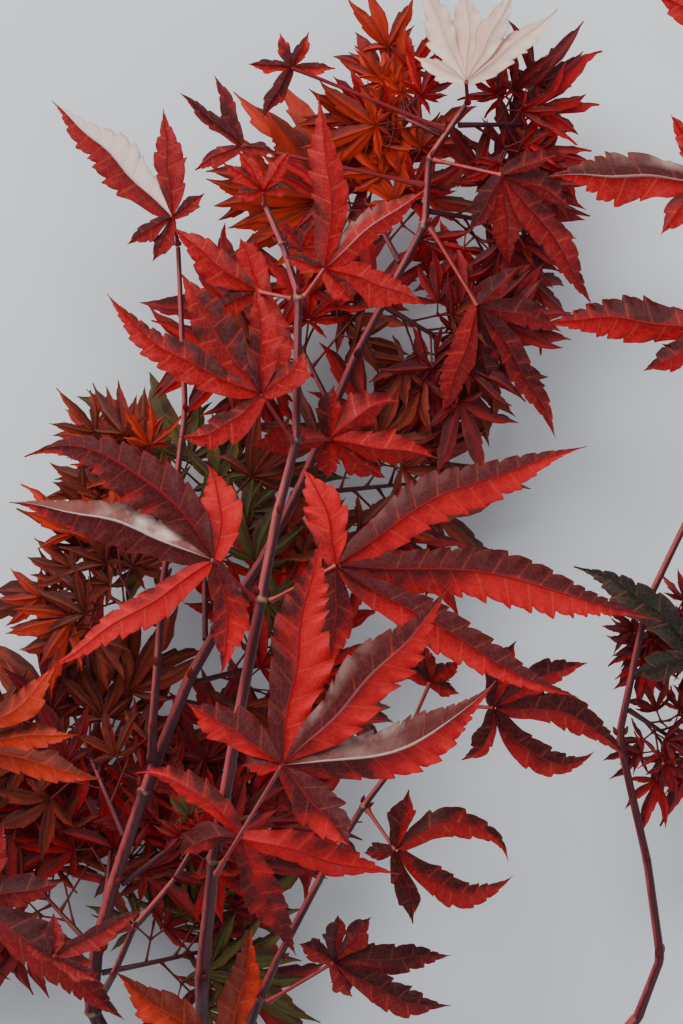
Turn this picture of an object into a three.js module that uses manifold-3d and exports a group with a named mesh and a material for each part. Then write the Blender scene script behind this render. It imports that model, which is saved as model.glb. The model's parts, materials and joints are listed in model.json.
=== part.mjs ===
// A cut branch of a red japanese maple, lying on its back leaves: one limb with a flat sawn end, the
// shoots that rise from it, the large leaves of the front shoots and the leafy sprays behind them.
// Millimetres and degrees. x runs across the branch, y along it to its tips, z up from the ground.
import * as THREE from "three";
import { mergeVertices } from "three/addons/utils/BufferGeometryUtils.js";
import Module from "manifold-3d";

const wasm = await Module();
wasm.setup();

// Driving dimensions
const CLEARANCE = 0.3; // between neighbours that touch on the real branch
const LIMB_SIDES = 6; // flats round a limb or shoot
const COLLAR = 1.28; // swelling of a shoot at a joint, times its radius
const COLLAR_REACH = 0.07; // of the way to the next joint
const STALK_RADIUS = 0.6; // leaf stalk
const TWIG_RADIUS = 0.7;
const BLADE_THICKNESS = 1.0; // at the midrib, down to nothing at the edge
const BLADE_FOLD = -24; // the halves of a lobe fall away from the midrib by this much
const LOBE_LIFT = 5; // every second lobe rises by this much, and the others fall
const NOTCH_SHARE = 0.18; // the notch between two lobes is at most this share of the shorter one
const SECTOR_SHARE = 0.8; // a lobe's edge keeps to this share of the way to the next lobe's sector
const WIDEST_SECTOR = 150; // a wider gap between two lobes sets no bound
const LOBE_STEPS = 24; // steps that a lobe's midrib is worked out in
const BEND_GROWTH = 1.6; // a lobe bends and droops more towards its tip, by this power of the way
const WIDEST = 0.38; // where a lobe is widest, of its length
const FOOT_WIDTH = 0.34; // width of a lobe's foot, of its full width
const WIDENING = 1.4; // power that a lobe widens by from its foot
const NARROWING = 1.15; // power that it narrows by to its tip
const TIP_THINNING = 0.5; // share of a lobe's thickness lost on the way to its tip
const LEAST_SPREAD = 0.3; // sine of half the gap between two lobes counts as at least this
const LARGE_LEAF_CUTS = [6, 10, 15, 20]; // midrib steps with a section, on the large leaves
const SMALL_LOBE_CUTS = [8, 16]; // on its small lobes and on the middle lobe of a spray's leaf
const SIDE_LOBE_CUTS = [10]; // and on the other lobes of a spray's leaf
const SMALL_LOBE = 16; // a shorter lobe of a large leaf is a small one
const STALK_BOW = 0.06; // rise of a stalk's middle, of its length
const TWIG_BOW = 0.08; // rise of a spray's twig, of its length
const LARGE_STALK = { sides: 4, steps: 4 };
const SMALL_STALK = { sides: 3, steps: 1 };
const TWIG = { sides: 4, steps: 4 };

// What a spray deals out: for each leaf the turn of its stalk away from the twig, its climb, length
// and size as shares of the spray's size, its tilt as a share of the spray's tilt and its droop. Each
// leaf has lobes at these turns and shares of its size, each with its own small sway.
const DEALS = {
  turn: [28, 62],
  climb: [-20, 25],
  stalk: [0.25, 0.45],
  scale: [0.85, 1.15],
  tilt: [0.2, 1],
  droop: [5, 45],
  sway: [-9, 9],
  length: [0.9, 1.1],
  width: [0.24, 0.31],
  bend: [-35, 35],
};
const SPRAY_LOBES = [[0, 1], [-40, 0.9], [40, 0.88], [-84, 0.55], [86, 0.55]];
const FIRST_PAIR = 0.35; // the pairs share out the twig from this share of it to its tip

// Limbs and shoots. Each grows from its parent: [parent, place along the parent's joints]. path
// holds its joints from foot to tip, and radius its half thickness at foot and tip.
const SHOOTS = {
  cut_limb: {
    radius: [5.6, 3.0],
    path: [[41, -98, 6], [41, -86, 6], [41, -72, 6], [42.5, -48, 9], [43.5, -25, 17]],
  },
  main_shoot: {
    on: ["cut_limb", 4],
    radius: [1.7, 0.65],
    path: [[43.5, -14, 27], [44, 9, 58], [47, 36, 78], [52, 65, 85], [57.5, 93.5, 88],
      [61, 112, 87], [65, 128.5, 86], [65.5, 160, 81], [62, 172, 78], [58.5, 180, 76]],
  },
  rear_shoot: {
    on: ["cut_limb", 3.2],
    radius: [1.8, 0.65],
    path: [[31, -24, 19], [19, 0, 33], [20, 14, 42], [24, 29, 48], [31, 50, 53], [41, 75, 55],
      [49, 89, 54], [58, 103, 52], [67, 121, 50], [78, 147, 48], [93.5, 177, 46],
      [95, 192, 45], [103, 204, 44]],
  },
  dark_shoot: {
    on: ["rear_shoot", 5.3],
    radius: [1.1, 0.55],
    path: [[33, 64, 60], [34, 78, 62], [35.5, 98, 60], [40, 135, 54], [38.5, 172, 50]],
  },
  right_shoot: {
    on: ["cut_limb", 3.6],
    radius: [1.15, 0.55],
    path: [[50, -16, 28], [57, 4, 50], [61, 13, 56], [72, 34, 62], [80, 47, 64], [90, 60, 64],
      [104, 69, 64]],
  },
  red_shoot: {
    on: ["rear_shoot", 2.2],
    radius: [0.9, 0.55],
    path: [[24, 9, 52], [29, 20, 60], [38, 31, 64]],
  },
  far_left_shoot: {
    on: ["cut_limb", 2.1],
    radius: [1.4, 0.65],
    path: [[24, -46, 14], [4, -20, 26], [-12, 12, 40], [-19, 40, 50], [-20, 60, 54]],
  },
  far_right_limb: {
    on: ["cut_limb", 1.2],
    radius: [2.2, 1.3],
    path: [[64, -67, 9], [96, -46, 14], [124, -24, 21], [142, -2, 28]],
  },
  far_right_shoot: {
    on: ["far_right_limb", 4],
    radius: [1.1, 0.5],
    path: [[147, 12, 33], [144, 34, 37], [138, 62, 40], [144, 92, 44], [157, 120, 46],
      [165, 150, 48], [164, 180, 48], [158, 205, 46]],
  },
};

// Large leaves: the shoot and joint that carry the stalk, the place where the lobes meet, which way
// and how far the leaf leans, how far its tips droop, and for each lobe its heading, length, width
// and sideways bend.
const LARGE_LEAVES = {
  leaf_mid_left: {
    on: ["main_shoot", 5], at: [47.1, 101.9, 95], lean: [120, 14], droop: 20,
    lobes: [[119, 53, 14, 84], [156, 51, 12, 16], [78, 24, 10.5, 46], [214, 44, 9, -4],
      [288, 25, 10, -40]],
  },
  leaf_mid_right: {
    on: ["main_shoot", 5], at: [73.9, 100.8, 92], lean: [60, 10], droop: 14,
    lobes: [[34, 65, 13.5, -20], [-3, 76, 14.5, -13], [-35, 62, 11.5, 18], [97, 23, 11.5, 30],
      [271, 23, 10, -12]],
  },
  leaf_front: {
    on: ["main_shoot", 2.92], at: [62.3, 57.9, 118], lean: [200, 12], droop: -14,
    lobes: [[84, 51, 15.5, -10], [43, 56, 14.5, 8], [4, 52, 14, 46], [144, 25, 11.5, 4],
      [-49, 24, 12.5, 4], [178, 9, 5.5, 10]],
  },
  leaf_low: {
    on: ["main_shoot", 3], at: [52.8, 41, 86], lean: [250, 18], droop: 20,
    lobes: [[-13, 36, 10, -3], [-70, 32, 10.5, 4], [126, 29, 8, 72], [170, 16, 8.5, 86]],
  },
  leaf_upper_left: {
    on: ["main_shoot", 7], at: [57.6, 138.4, 96], lean: [130, 16], droop: 10,
    lobes: [[161, 42, 10, -36], [127, 35, 13, -8], [88, 25, 9, 13], [33, 14, 8.5, 42],
      [226, 22, 9, -58]],
  },
  leaf_upper_right: {
    on: ["main_shoot", 7], at: [72.4, 128.7, 79], lean: [300, 15], droop: 24,
    lobes: [[45, 19, 9.5, -54], [-6, 25, 9, -12], [-38, 17, 8, 5], [-92, 9, 6.5, 0],
      [184, 18, 8, 10], [92, 12, 7, -20]],
  },
  leaf_high_right: {
    on: ["main_shoot", 8], at: [71.3, 166.3, 83], lean: [40, 15], droop: 12,
    lobes: [[85, 39, 10, 18], [41, 31, 8.5, -5], [-14, 25, 10.5, -8], [-48, 10, 7, 0],
      [161, 9, 5, 0]],
  },
  leaf_high_left: {
    on: ["main_shoot", 8], at: [56.8, 161.5, 73], lean: [150, 16], droop: 18,
    lobes: [[147, 25, 9, -12], [106, 14, 8, 15], [-64, 22, 8.5, -40], [196, 12, 7, 10]],
  },
  leaf_tip: {
    on: ["main_shoot", 10], at: [57.9, 183.5, 79], lean: [90, 12], droop: -10,
    lobes: [[143, 11, 4.8, 10], [117, 11, 5, 12], [60, 11, 5, -10], [8, 6, 3.8, 0],
      [186, 7, 3.8, 0]],
  },
  leaf_tip_right: {
    on: ["main_shoot", 9], at: [66, 171, 71], lean: [60, 20], droop: 20,
    lobes: [[70, 9, 5, -40], [4, 9, 5, -8], [118, 8, 4.6, 10]],
  },
  leaf_low_right: {
    on: ["right_shoot", 5], at: [87.1, 37.6, 70], lean: [330, 12], droop: 10,
    lobes: [[76, 14, 7, 5], [35, 32, 8, -112], [-49, 32, 8.5, 92], [-71, 17, 7.5, -16],
      [186, 7, 5, 0]],
  },
  leaf_foot_right: {
    on: ["right_shoot", 2], at: [73.5, 12.5, 66], lean: [20, 14], droop: 12,
    lobes: [[82, 11, 7, 3], [51, 13, 8, 0], [3, 28, 9, 0], [-37, 29, 9.5, 42], [-66, 9, 6.5, 12],
      [145, 9, 6, 18]],
  },
  leaf_star_right: {
    on: ["right_shoot", 7], at: [108.9, 69.1, 68], lean: [310, 16], droop: 14,
    lobes: [[84, 16, 8, -34], [34, 25, 8, -32], [-2, 37, 9, -56], [-63, 29, 8.5, 104],
      [269, 15, 7, -74]],
  },
  leaf_small_right: {
    on: ["right_shoot", 6], at: [94.8, 74.5, 61], lean: [80, 20], droop: 16,
    lobes: [[96, 9, 5.5, 10], [42, 9, 5.5, -10], [143, 9, 5.5, 10], [-20, 7, 4.4, 0]],
  },
  leaf_edge_left: {
    on: ["far_left_shoot", 4], at: [-12, 62, 64], lean: [180, 16], droop: 8,
    lobes: [[18, 31, 10, 46], [2, 28, 10, 2], [-18, 35, 9.5, 8], [95, 26, 9, 20],
      [250, 18, 8, -20]],
  },
  leaf_foot_left: {
    on: ["far_left_shoot", 3], at: [-8, 26, 56], lean: [200, 18], droop: 16,
    lobes: [[-38, 44, 14, -8], [8, 21, 9, 6], [60, 20, 8, 20], [150, 20, 9, 20], [255, 22, 9, -10]],
  },
  leaf_small_left: {
    on: ["red_shoot", 2], at: [11, 13.6, 70], lean: [110, 30], droop: 10,
    lobes: [[31, 24, 6.5, 4], [85, 10, 5, 10], [-24, 12, 5, -6], [150, 8, 4.4, 0]],
  },
  leaf_foot: {
    on: ["main_shoot", 1], at: [49.5, -9, 58], lean: [40, 14], droop: 12,
    lobes: [[144, 32, 11, -8], [77, 30, 9.5, 6], [16, 22, 8, -14], [196, 18, 8, 12],
      [-40, 16, 7.5, 0]],
  },
  leaf_edge_top: {
    on: ["far_right_shoot", 8], at: [160, 217, 56], lean: [30, 12], droop: 12,
    lobes: [[130, 20, 8, 26], [80, 24, 9, -10], [30, 22, 8, -20], [-20, 14, 7, -10]],
  },
  leaf_edge_upper: {
    on: ["far_right_shoot", 7], at: [157, 186, 57], lean: [100, 12], droop: 14,
    lobes: [[172, 37, 14, 8], [222, 16, 7, 14], [110, 18, 8, 20], [52, 20, 9, -10],
      [-8, 20, 9, -12]],
  },
  leaf_edge_middle: {
    on: ["far_right_shoot", 6], at: [158, 153, 57], lean: [240, 12], droop: 14,
    lobes: [[170, 40, 12, 24], [215, 18, 8, -14], [100, 16, 8, 20], [30, 24, 10, -8],
      [-30, 22, 9, -8]],
  },
  leaf_edge_lower: {
    on: ["far_right_shoot", 5], at: [155, 80, 54], lean: [60, 14], droop: 14,
    lobes: [[128, 36, 10.5, 36], [85, 20, 9, 8], [190, 16, 8, 14], [30, 26, 10, -8],
      [-30, 22, 9, -8]],
  },
  leaf_high_rear: {
    on: ["dark_shoot", 5], at: [37.4, 178.5, 56], lean: [140, 18], droop: 14,
    lobes: [[134, 42, 12, 5], [94, 25, 8.5, 3], [207, 12, 5.5, 10], [245, 11, 5.5, -8],
      [40, 9, 4.5, 0]],
  },
  leaf_thin_rear: {
    on: ["rear_shoot", 11.6], at: [52.8, 194.5, 55], lean: [110, 16], droop: 12,
    lobes: [[137, 19, 4, 6], [109, 19, 4.6, 5], [200, 12, 5.5, 14], [-10, 8, 4, 0]],
  },
  leaf_star_rear: {
    on: ["rear_shoot", 12.5], at: [64, 212, 55], lean: [90, 14], droop: 14,
    lobes: [[5, 10, 4, -10], [62, 9, 3.8, 6], [108, 9, 3.8, 0], [172, 10, 4, 8], [236, 13, 5, 6]],
  },
  leaf_pale_rear: {
    on: ["rear_shoot", 13], at: [103, 209, 54], lean: [80, 18], droop: -6,
    lobes: [[117, 25, 8.5, -8], [88, 24, 8.5, 6], [62, 23, 8, 0], [36, 27, 7.5, 8],
      [150, 13, 5.5, 10]],
  },
  leaf_droop_rear: {
    on: ["rear_shoot", 12], at: [111, 188, 54], lean: [310, 22], droop: 22,
    lobes: [[-51, 37, 9, -8], [-84, 23, 9, 6], [-16, 20, 8, -26], [24, 14, 6.5, -20],
      [-122, 15, 6.5, 10]],
  },
  leaf_hang_rear: {
    on: ["rear_shoot", 11], at: [105.6, 159, 50], lean: [290, 20], droop: 18,
    lobes: [[-12, 22, 8, -22], [-53, 36, 7.5, -16], [-80, 29, 8.5, 0], [-106, 27, 9, -6],
      [40, 12, 6, 0]],
  },
};

// Sprays: the shoot and place that carry the twig, the tip of the twig, its pairs of leaves, their
// size and tilt, and the seed that deals out their places.
const SPRAYS = {
  spray_top: {
    on: ["rear_shoot", 12.4], tip: [86, 203, 38], pairs: 2, size: 17, tilt: 38, seed: 24,
  },
  spray_top_right: {
    on: ["rear_shoot", 12.7], tip: [116, 200, 36], pairs: 1, size: 19, tilt: 40, seed: 30,
  },
  spray_high_right: {
    on: ["rear_shoot", 11.2], tip: [111, 178, 30], pairs: 2, size: 22, tilt: 42, seed: 47,
  },
  spray_droop_right: {
    on: ["rear_shoot", 10.4], tip: [100, 150, 38], pairs: 2, size: 22, tilt: 42, seed: 29,
  },
  spray_centre_high: {
    on: ["rear_shoot", 10.7], tip: [78, 188, 26], pairs: 2, size: 24, tilt: 38, seed: 93,
  },
  spray_centre_right: {
    on: ["rear_shoot", 8.8], tip: [90, 119, 24], pairs: 1, size: 24, tilt: 38, seed: 106,
  },
  spray_centre: {
    on: ["rear_shoot", 9.6], tip: [64, 154, 30], pairs: 2, size: 25, tilt: 38, seed: 134,
  },
  spray_mid_left: {
    on: ["dark_shoot", 3.6], tip: [25, 122, 34], pairs: 2, size: 16, tilt: 38, seed: 24,
  },
  spray_left: {
    on: ["dark_shoot", 2.5], tip: [19, 96, 44], pairs: 1, size: 20, tilt: 38, seed: 21,
  },
  spray_behind: {
    on: ["rear_shoot", 6.6], tip: [44, 118, 28], pairs: 1, size: 28, tilt: 35, seed: 119,
  },
  spray_heart: {
    on: ["rear_shoot", 6], tip: [64, 80, 32], pairs: 2, size: 25, tilt: 38, seed: 47,
  },
  spray_low_left: {
    on: ["rear_shoot", 4.5], tip: [14, 68, 30], pairs: 2, size: 24, tilt: 38, seed: 128,
  },
  spray_low: {
    on: ["rear_shoot", 4], tip: [54, 50, 30], pairs: 2, size: 25, tilt: 38, seed: 138,
  },
  spray_low_mid: {
    on: ["rear_shoot", 3.5], tip: [24, 46, 26], pairs: 2, size: 24, tilt: 38, seed: 47,
  },
  spray_foot_left: {
    on: ["rear_shoot", 3], tip: [4, 30, 26], pairs: 2, size: 26, tilt: 38, seed: 75,
  },
  spray_foot: {
    on: ["rear_shoot", 2.6], tip: [48, 14, 26], pairs: 2, size: 25, tilt: 38, seed: 138,
  },
  spray_red: {
    on: ["red_shoot", 3], tip: [42, 38, 64], pairs: 1, size: 14, tilt: 34, seed: 104,
  },
  spray_rear_right: {
    on: ["far_right_shoot", 4], tip: [146, 90, 30], pairs: 1, size: 15, tilt: 42, seed: 57,
  },
  spray_edge_right: {
    on: ["far_right_shoot", 3.2], tip: [152, 60, 28], pairs: 1, size: 16, tilt: 42, seed: 131,
  },
};

const FINISHES = {
  limb: { color: "#4a3534", roughness: 0.5 },
  shoot: { color: "#5d2228", roughness: 0.5 },
  leaf: { color: "#a3161b", roughness: 0.4 },
  spray: { color: "#7d1d1c", roughness: 0.45 },
};

const rad = THREE.MathUtils.degToRad;
const vector = (v) => new THREE.Vector3(...v);

// Even numbers between 0 and 1 that a seed always deals in the same order.
function dealer(seed) {
  let state = Math.imul(seed, 2654435761) >>> 0;
  return () => {
    state = (Math.imul(state, 1664525) + 1013904223) >>> 0;
    return state / 4294967296;
  };
}

// The point of a smooth curve through the joints of a path, at place t counted in joints: a cubic
// between two joints, whose slope at a joint is half the step from the joint before to the next.
function alongPath(path, t) {
  const last = path.length - 1;
  const k = Math.min(Math.floor(t), last - 1);
  const s = t - k;
  const joint = (i) => {
    if (i < 0) return path[0].clone().multiplyScalar(2).sub(path[1]);
    if (i > last) return path[last].clone().multiplyScalar(2).sub(path[last - 1]);
    return path[i];
  };
  const slope = (i) => joint(i + 1).clone().sub(joint(i - 1)).multiplyScalar(0.5);
  return new THREE.Vector3()
    .addScaledVector(joint(k), 2 * s ** 3 - 3 * s ** 2 + 1)
    .addScaledVector(slope(k), s ** 3 - 2 * s ** 2 + s)
    .addScaledVector(joint(k + 1), 3 * s ** 2 - 2 * s ** 3)
    .addScaledVector(slope(k + 1), s ** 3 - s ** 2);
}

// The direction of that curve at place t, taken over a short step either way.
function directionAt(path, t) {
  const step = 0.02;
  const last = path.length - 1;
  const from = alongPath(path, Math.max(t - step, 0));
  return alongPath(path, Math.min(t + step, last)).sub(from).normalize();
}

// The middle of a shoot at place t. Between the collars of two joints a shoot runs straight.
function middleOf(shoot, t) {
  const joint = Math.floor(t);
  const way = (t - joint - COLLAR_REACH) / (1 - 2 * COLLAR_REACH);
  if (way <= 0 || way >= 1) return alongPath(shoot.path, t);
  const from = alongPath(shoot.path, joint + COLLAR_REACH);
  return from.lerp(alongPath(shoot.path, joint + 1 - COLLAR_REACH), way);
}

function radiusAt(shoot, t) {
  const [foot, tip] = shoot.radius;
  return foot + ((tip - foot) * t) / (shoot.path.length - 1);
}

// A closed solid from triangles that face out, given as a row of coordinates.
function solidFromTriangles(positions) {
  const soup = new THREE.BufferGeometry();
  soup.setAttribute("position", new THREE.Float32BufferAttribute(positions, 3));
  const merged = mergeVertices(soup, 1e-4);
  return new wasm.Manifold(
    new wasm.Mesh({
      numProp: 3,
      vertProperties: merged.attributes.position.array,
      triVerts: new Uint32Array(merged.index.array),
    }),
  );
}

// A closed solid from rings of equal count, flat at both ends.
function solidFromRings(rings) {
  const positions = [];
  const triangle = (a, b, c) => {
    for (const p of [a, b, c]) positions.push(p.x, p.y, p.z);
  };
  const count = rings[0].length;
  for (let i = 0; i + 1 < rings.length; i += 1) {
    const [low, high] = [rings[i], rings[i + 1]];
    for (let k = 0; k < count; k += 1) {
      const next = (k + 1) % count;
      triangle(low[k], low[next], high[next]);
      triangle(low[k], high[next], high[k]);
    }
  }
  const [first, last] = [rings[0], rings[rings.length - 1]];
  for (let k = 1; k + 1 < count; k += 1) {
    triangle(first[0], first[k + 1], first[k]);
    triangle(last[0], last[k], last[k + 1]);
  }
  return solidFromTriangles(positions);
}

// A tube through centres, each with its radius, whose flats don't twist.
function tubeSolid(centres, radii, sides) {
  let across = null;
  const rings = centres.map((centre, i) => {
    const before = centres[Math.max(i - 1, 0)];
    const after = centres[Math.min(i + 1, centres.length - 1)];
    const ahead = after.clone().sub(before).normalize();
    if (!across) {
      const steep = Math.abs(ahead.z) > 0.9;
      const upright = vector(steep ? [1, 0, 0] : [0, 0, 1]);
      across = ahead.clone().cross(upright).normalize();
    }
    across = across.clone().addScaledVector(ahead, -across.dot(ahead)).normalize();
    const over = ahead.clone().cross(across);
    return Array.from({ length: sides }, (_, k) => {
      const turn = (2 * Math.PI * k) / sides;
      return centre
        .clone()
        .addScaledVector(across, radii[i] * Math.cos(turn))
        .addScaledVector(over, radii[i] * Math.sin(turn));
    });
  });
  return solidFromRings(rings);
}

// Where a child of the given radius starts on its parent, on the side that faces its target, clear
// of the parent's collar. A child at the parent's tip starts clear of the tip's flat end.
function footOn([parentName, place], target, childRadius) {
  const parent = SHOOTS[parentName];
  const centre = middleOf(parent, place);
  const ahead = directionAt(parent.path, place);
  const towards = target.clone().sub(centre);
  const slant = Math.abs(towards.clone().normalize().dot(ahead));
  const fromJoint = Math.abs(place - Math.round(place)) / COLLAR_REACH;
  const swelling = 1 + (COLLAR - 1) * Math.max(0, 1 - fromJoint);
  if (place === parent.path.length - 1) {
    return centre.addScaledVector(ahead, CLEARANCE + childRadius * Math.sqrt(1 - slant ** 2));
  }
  const out = towards.addScaledVector(ahead, -towards.dot(ahead)).normalize();
  const reach = radiusAt(parent, place) * swelling + CLEARANCE + childRadius * slant;
  return centre.addScaledVector(out, reach);
}

// A limb or shoot: a tapering tube with a collar at each joint.
function shootSolid(shoot) {
  const centres = [];
  const radii = [];
  const last = shoot.path.length - 1;
  const section = (t, swelling) => {
    centres.push(alongPath(shoot.path, t));
    radii.push(radiusAt(shoot, t) * swelling);
  };
  for (let k = 0; k < last; k += 1) {
    section(k, k === 0 ? 1 : COLLAR);
    section(k + COLLAR_REACH, 1);
    section(k + 1 - COLLAR_REACH, 1);
  }
  section(last, 1);
  return tubeSolid(centres, radii, LIMB_SIDES);
}

// Half the width of a lobe at place s along it: from a narrow foot to the widest place, and from
// there to a long fine tip.
function lobeProfile(s) {
  const quarter = Math.PI / 2;
  if (s < WIDEST) {
    const rise = Math.sin((quarter * s) / WIDEST) ** WIDENING;
    return FOOT_WIDTH + (1 - FOOT_WIDTH) * rise;
  }
  return Math.cos((quarter * (s - WIDEST)) / (1 - WIDEST)) ** NARROWING;
}

// A lobe as its sections at the given steps: its midrib bends sideways and droops on its way to the
// tip, and its two halves fold down from the midrib, each kept out of its neighbour's sector.
function lobeSections({ at, ahead, up, length, width, bend, droop, gaps, cuts }) {
  const fold = rad(BLADE_FOLD);
  const centre = at.clone();
  const sections = [];
  let [f, n, s] = [ahead.clone(), up.clone(), up.clone().cross(ahead)];
  for (let k = 0; k < LOBE_STEPS; k += 1) {
    if (cuts.includes(k)) {
      const half = (width / 2) * lobeProfile(k / LOBE_STEPS);
      const thick = (BLADE_THICKNESS / 2) * (1 - (TIP_THINNING * k) / LOBE_STEPS);
      const reach = (length * k) / LOBE_STEPS;
      const edge = (hand, gap) => {
        const sector = rad((SECTOR_SHARE * Math.min(gap, WIDEST_SECTOR)) / 2);
        const out = Math.min(half, reach * Math.tan(sector));
        return centre.clone()
          .addScaledVector(s, hand * out * Math.cos(fold))
          .addScaledVector(n, out * Math.sin(fold));
      };
      sections.push({
        left: edge(1, gaps[0]),
        right: edge(-1, gaps[1]),
        top: centre.clone().addScaledVector(n, thick),
        under: centre.clone().addScaledVector(n, -thick),
      });
    }
    centre.addScaledVector(f, length / LOBE_STEPS);
    const share = ((k + 1) / LOBE_STEPS) ** BEND_GROWTH - (k / LOBE_STEPS) ** BEND_GROWTH;
    const [turn, fall] = [rad(bend * share), rad(droop * share)];
    const turned = f.clone().multiplyScalar(Math.cos(turn)).addScaledVector(s, Math.sin(turn));
    s = s.multiplyScalar(Math.cos(turn)).addScaledVector(f, -Math.sin(turn));
    f = turned.clone().multiplyScalar(Math.cos(fall)).addScaledVector(n, -Math.sin(fall));
    n = n.multiplyScalar(Math.cos(fall)).addScaledVector(turned, Math.sin(fall));
  }
  sections.push({ left: centre, right: centre, top: centre, under: centre });
  return sections;
}

const gapBetween = (lobe, next) => (next.heading - lobe.heading + 360) % 360 || 360;

// The point where two neighbouring lobes part: their edges, a foot's half width from each midrib,
// meet there.
function notchBetween(at, facing, lobe, next) {
  const gap = gapBetween(lobe, next);
  const foot = (FOOT_WIDTH * (lobe.width + next.width)) / 4;
  const most = NOTCH_SHARE * Math.min(lobe.length, next.length);
  const reach = Math.min(foot / Math.max(Math.sin(rad(gap / 2)), LEAST_SPREAD), most);
  return at.clone()
    .addScaledVector(directionOn(facing, lobe.heading + gap / 2), reach)
    .addScaledVector(facing, foot * Math.sin(rad(BLADE_FOLD)));
}

// The direction on a blade that shows the given heading from above. Its length is how much longer
// the blade is than it looks from there.
function slopeOn(facing, heading) {
  const [east, north] = [Math.cos(rad(heading)), Math.sin(rad(heading))];
  return vector([east, north, -(facing.x * east + facing.y * north) / facing.z]);
}

const directionOn = (facing, heading) => slopeOn(facing, heading).normalize();

// The lobes of one leaf in order round the place where they meet, each with its sections and the
// notch that parts it from the next. Headings and lengths are as seen from above, on a blade whose
// upper side faces the given way, and every second lobe is lifted so that neighbours pass clear.
function fanOf({ at, facing, droop, lobes, cutsFor }) {
  const fan = lobes
    .map(([heading, length, width, bend]) => ({
      heading: ((heading % 360) + 360) % 360, length, width, bend,
    }))
    .sort((one, other) => one.heading - other.heading);
  fan.forEach((lobe, i) => {
    const next = fan[(i + 1) % fan.length];
    const before = fan[(i + fan.length - 1) % fan.length];
    const slope = slopeOn(facing, lobe.heading);
    const level = slope.clone().normalize();
    const lift = rad(i % 2 ? LOBE_LIFT : -LOBE_LIFT);
    lobe.sections = lobeSections({
      at,
      ahead: level.clone().multiplyScalar(Math.cos(lift)).addScaledVector(facing, Math.sin(lift)),
      up: facing.clone().multiplyScalar(Math.cos(lift)).addScaledVector(level, -Math.sin(lift)),
      length: lobe.length * slope.length(),
      width: lobe.width,
      bend: lobe.bend,
      droop,
      gaps: [gapBetween(lobe, next), gapBetween(before, lobe)],
      cuts: cutsFor(lobe.length),
    });
    lobe.notch = notchBetween(at, facing, lobe, next);
  });
  return fan;
}

// The blade of one leaf: a closed surface whose lobes meet at one point. Its upper side leans a
// given way by a given tilt.
function bladeSolid({ at, lean, droop, lobes, cutsFor }) {
  const [way, tilt] = lean.map(rad);
  const level = Math.sin(tilt);
  const facing = vector([level * Math.cos(way), level * Math.sin(way), Math.cos(tilt)]);
  const fan = fanOf({ at, facing, droop, lobes, cutsFor });
  const positions = [];
  const triangle = (a, b, c) => {
    if (a === b || b === c || c === a) return;
    for (const p of [a, b, c]) positions.push(p.x, p.y, p.z);
  };
  const strip = (mids, edges, facesUp) => {
    for (let k = 0; k + 1 < mids.length; k += 1) {
      const quads = [[mids[k], mids[k + 1], edges[k + 1]], [mids[k], edges[k + 1], edges[k]]];
      for (const [a, b, c] of quads) {
        if (facesUp) triangle(a, b, c);
        else triangle(a, c, b);
      }
    }
  };
  const above = at.clone().addScaledVector(facing, BLADE_THICKNESS / 2);
  const below = at.clone().addScaledVector(facing, -BLADE_THICKNESS / 2);
  fan.forEach((lobe, i) => {
    const { notch } = fan[(i + fan.length - 1) % fan.length];
    const tops = [above, ...lobe.sections.map((section) => section.top)];
    const unders = [below, ...lobe.sections.map((section) => section.under)];
    const lefts = [lobe.notch, ...lobe.sections.map((section) => section.left)];
    const rights = [notch, ...lobe.sections.map((section) => section.right)];
    strip(tops, lefts, true);
    strip(tops, rights, false);
    strip(unders, lefts, false);
    strip(unders, rights, true);
  });
  return solidFromTriangles(positions);
}

// A leaf stalk, bowed up a little between its two ends and sunk into the blade at the second.
function stalkSolid(from, to, { sides, steps }) {
  const bow = STALK_BOW * from.distanceTo(to);
  const bend = from.clone().add(to).multiplyScalar(0.5).add(vector([0, 0, bow]));
  const centres = new THREE.QuadraticBezierCurve3(from, bend, to).getPoints(steps);
  return tubeSolid(centres, centres.map(() => STALK_RADIUS), sides);
}

function largeLeafSolid(leaf) {
  const at = vector(leaf.at);
  const foot = footOn(leaf.on, at, STALK_RADIUS);
  const cutsFor = (length) => (length < SMALL_LOBE ? SMALL_LOBE_CUTS : LARGE_LEAF_CUTS);
  return stalkSolid(foot, at, LARGE_STALK).add(bladeSolid({ ...leaf, at, cutsFor }));
}

// One leaf of a spray on its stalk. between deals a number out of a range.
function sprayLeafSolid({ joint, course, hand, size, tilt, between }) {
  const heading = course + hand * between(DEALS.turn);
  const climb = rad(between(DEALS.climb));
  const reach = size * between(DEALS.stalk);
  const scale = size * between(DEALS.scale);
  const lean = [between([0, 360]), tilt * between(DEALS.tilt)];
  const droop = between(DEALS.droop);
  const out = vector([
    Math.cos(rad(heading)) * Math.cos(climb),
    Math.sin(rad(heading)) * Math.cos(climb),
    Math.sin(climb),
  ]);
  const at = joint.clone().addScaledVector(out, reach);
  const lobes = SPRAY_LOBES.map(([turn, share]) => [
    heading + turn + between(DEALS.sway),
    scale * share * between(DEALS.length),
    scale * share * between(DEALS.width),
    between(DEALS.bend),
  ]);
  const longest = Math.max(...lobes.map(([, length]) => length));
  const cutsFor = (length) => (length === longest ? SMALL_LOBE_CUTS : SIDE_LOBE_CUTS);
  return stalkSolid(joint, at, SMALL_STALK).add(bladeSolid({ at, lean, droop, lobes, cutsFor }));
}

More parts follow.
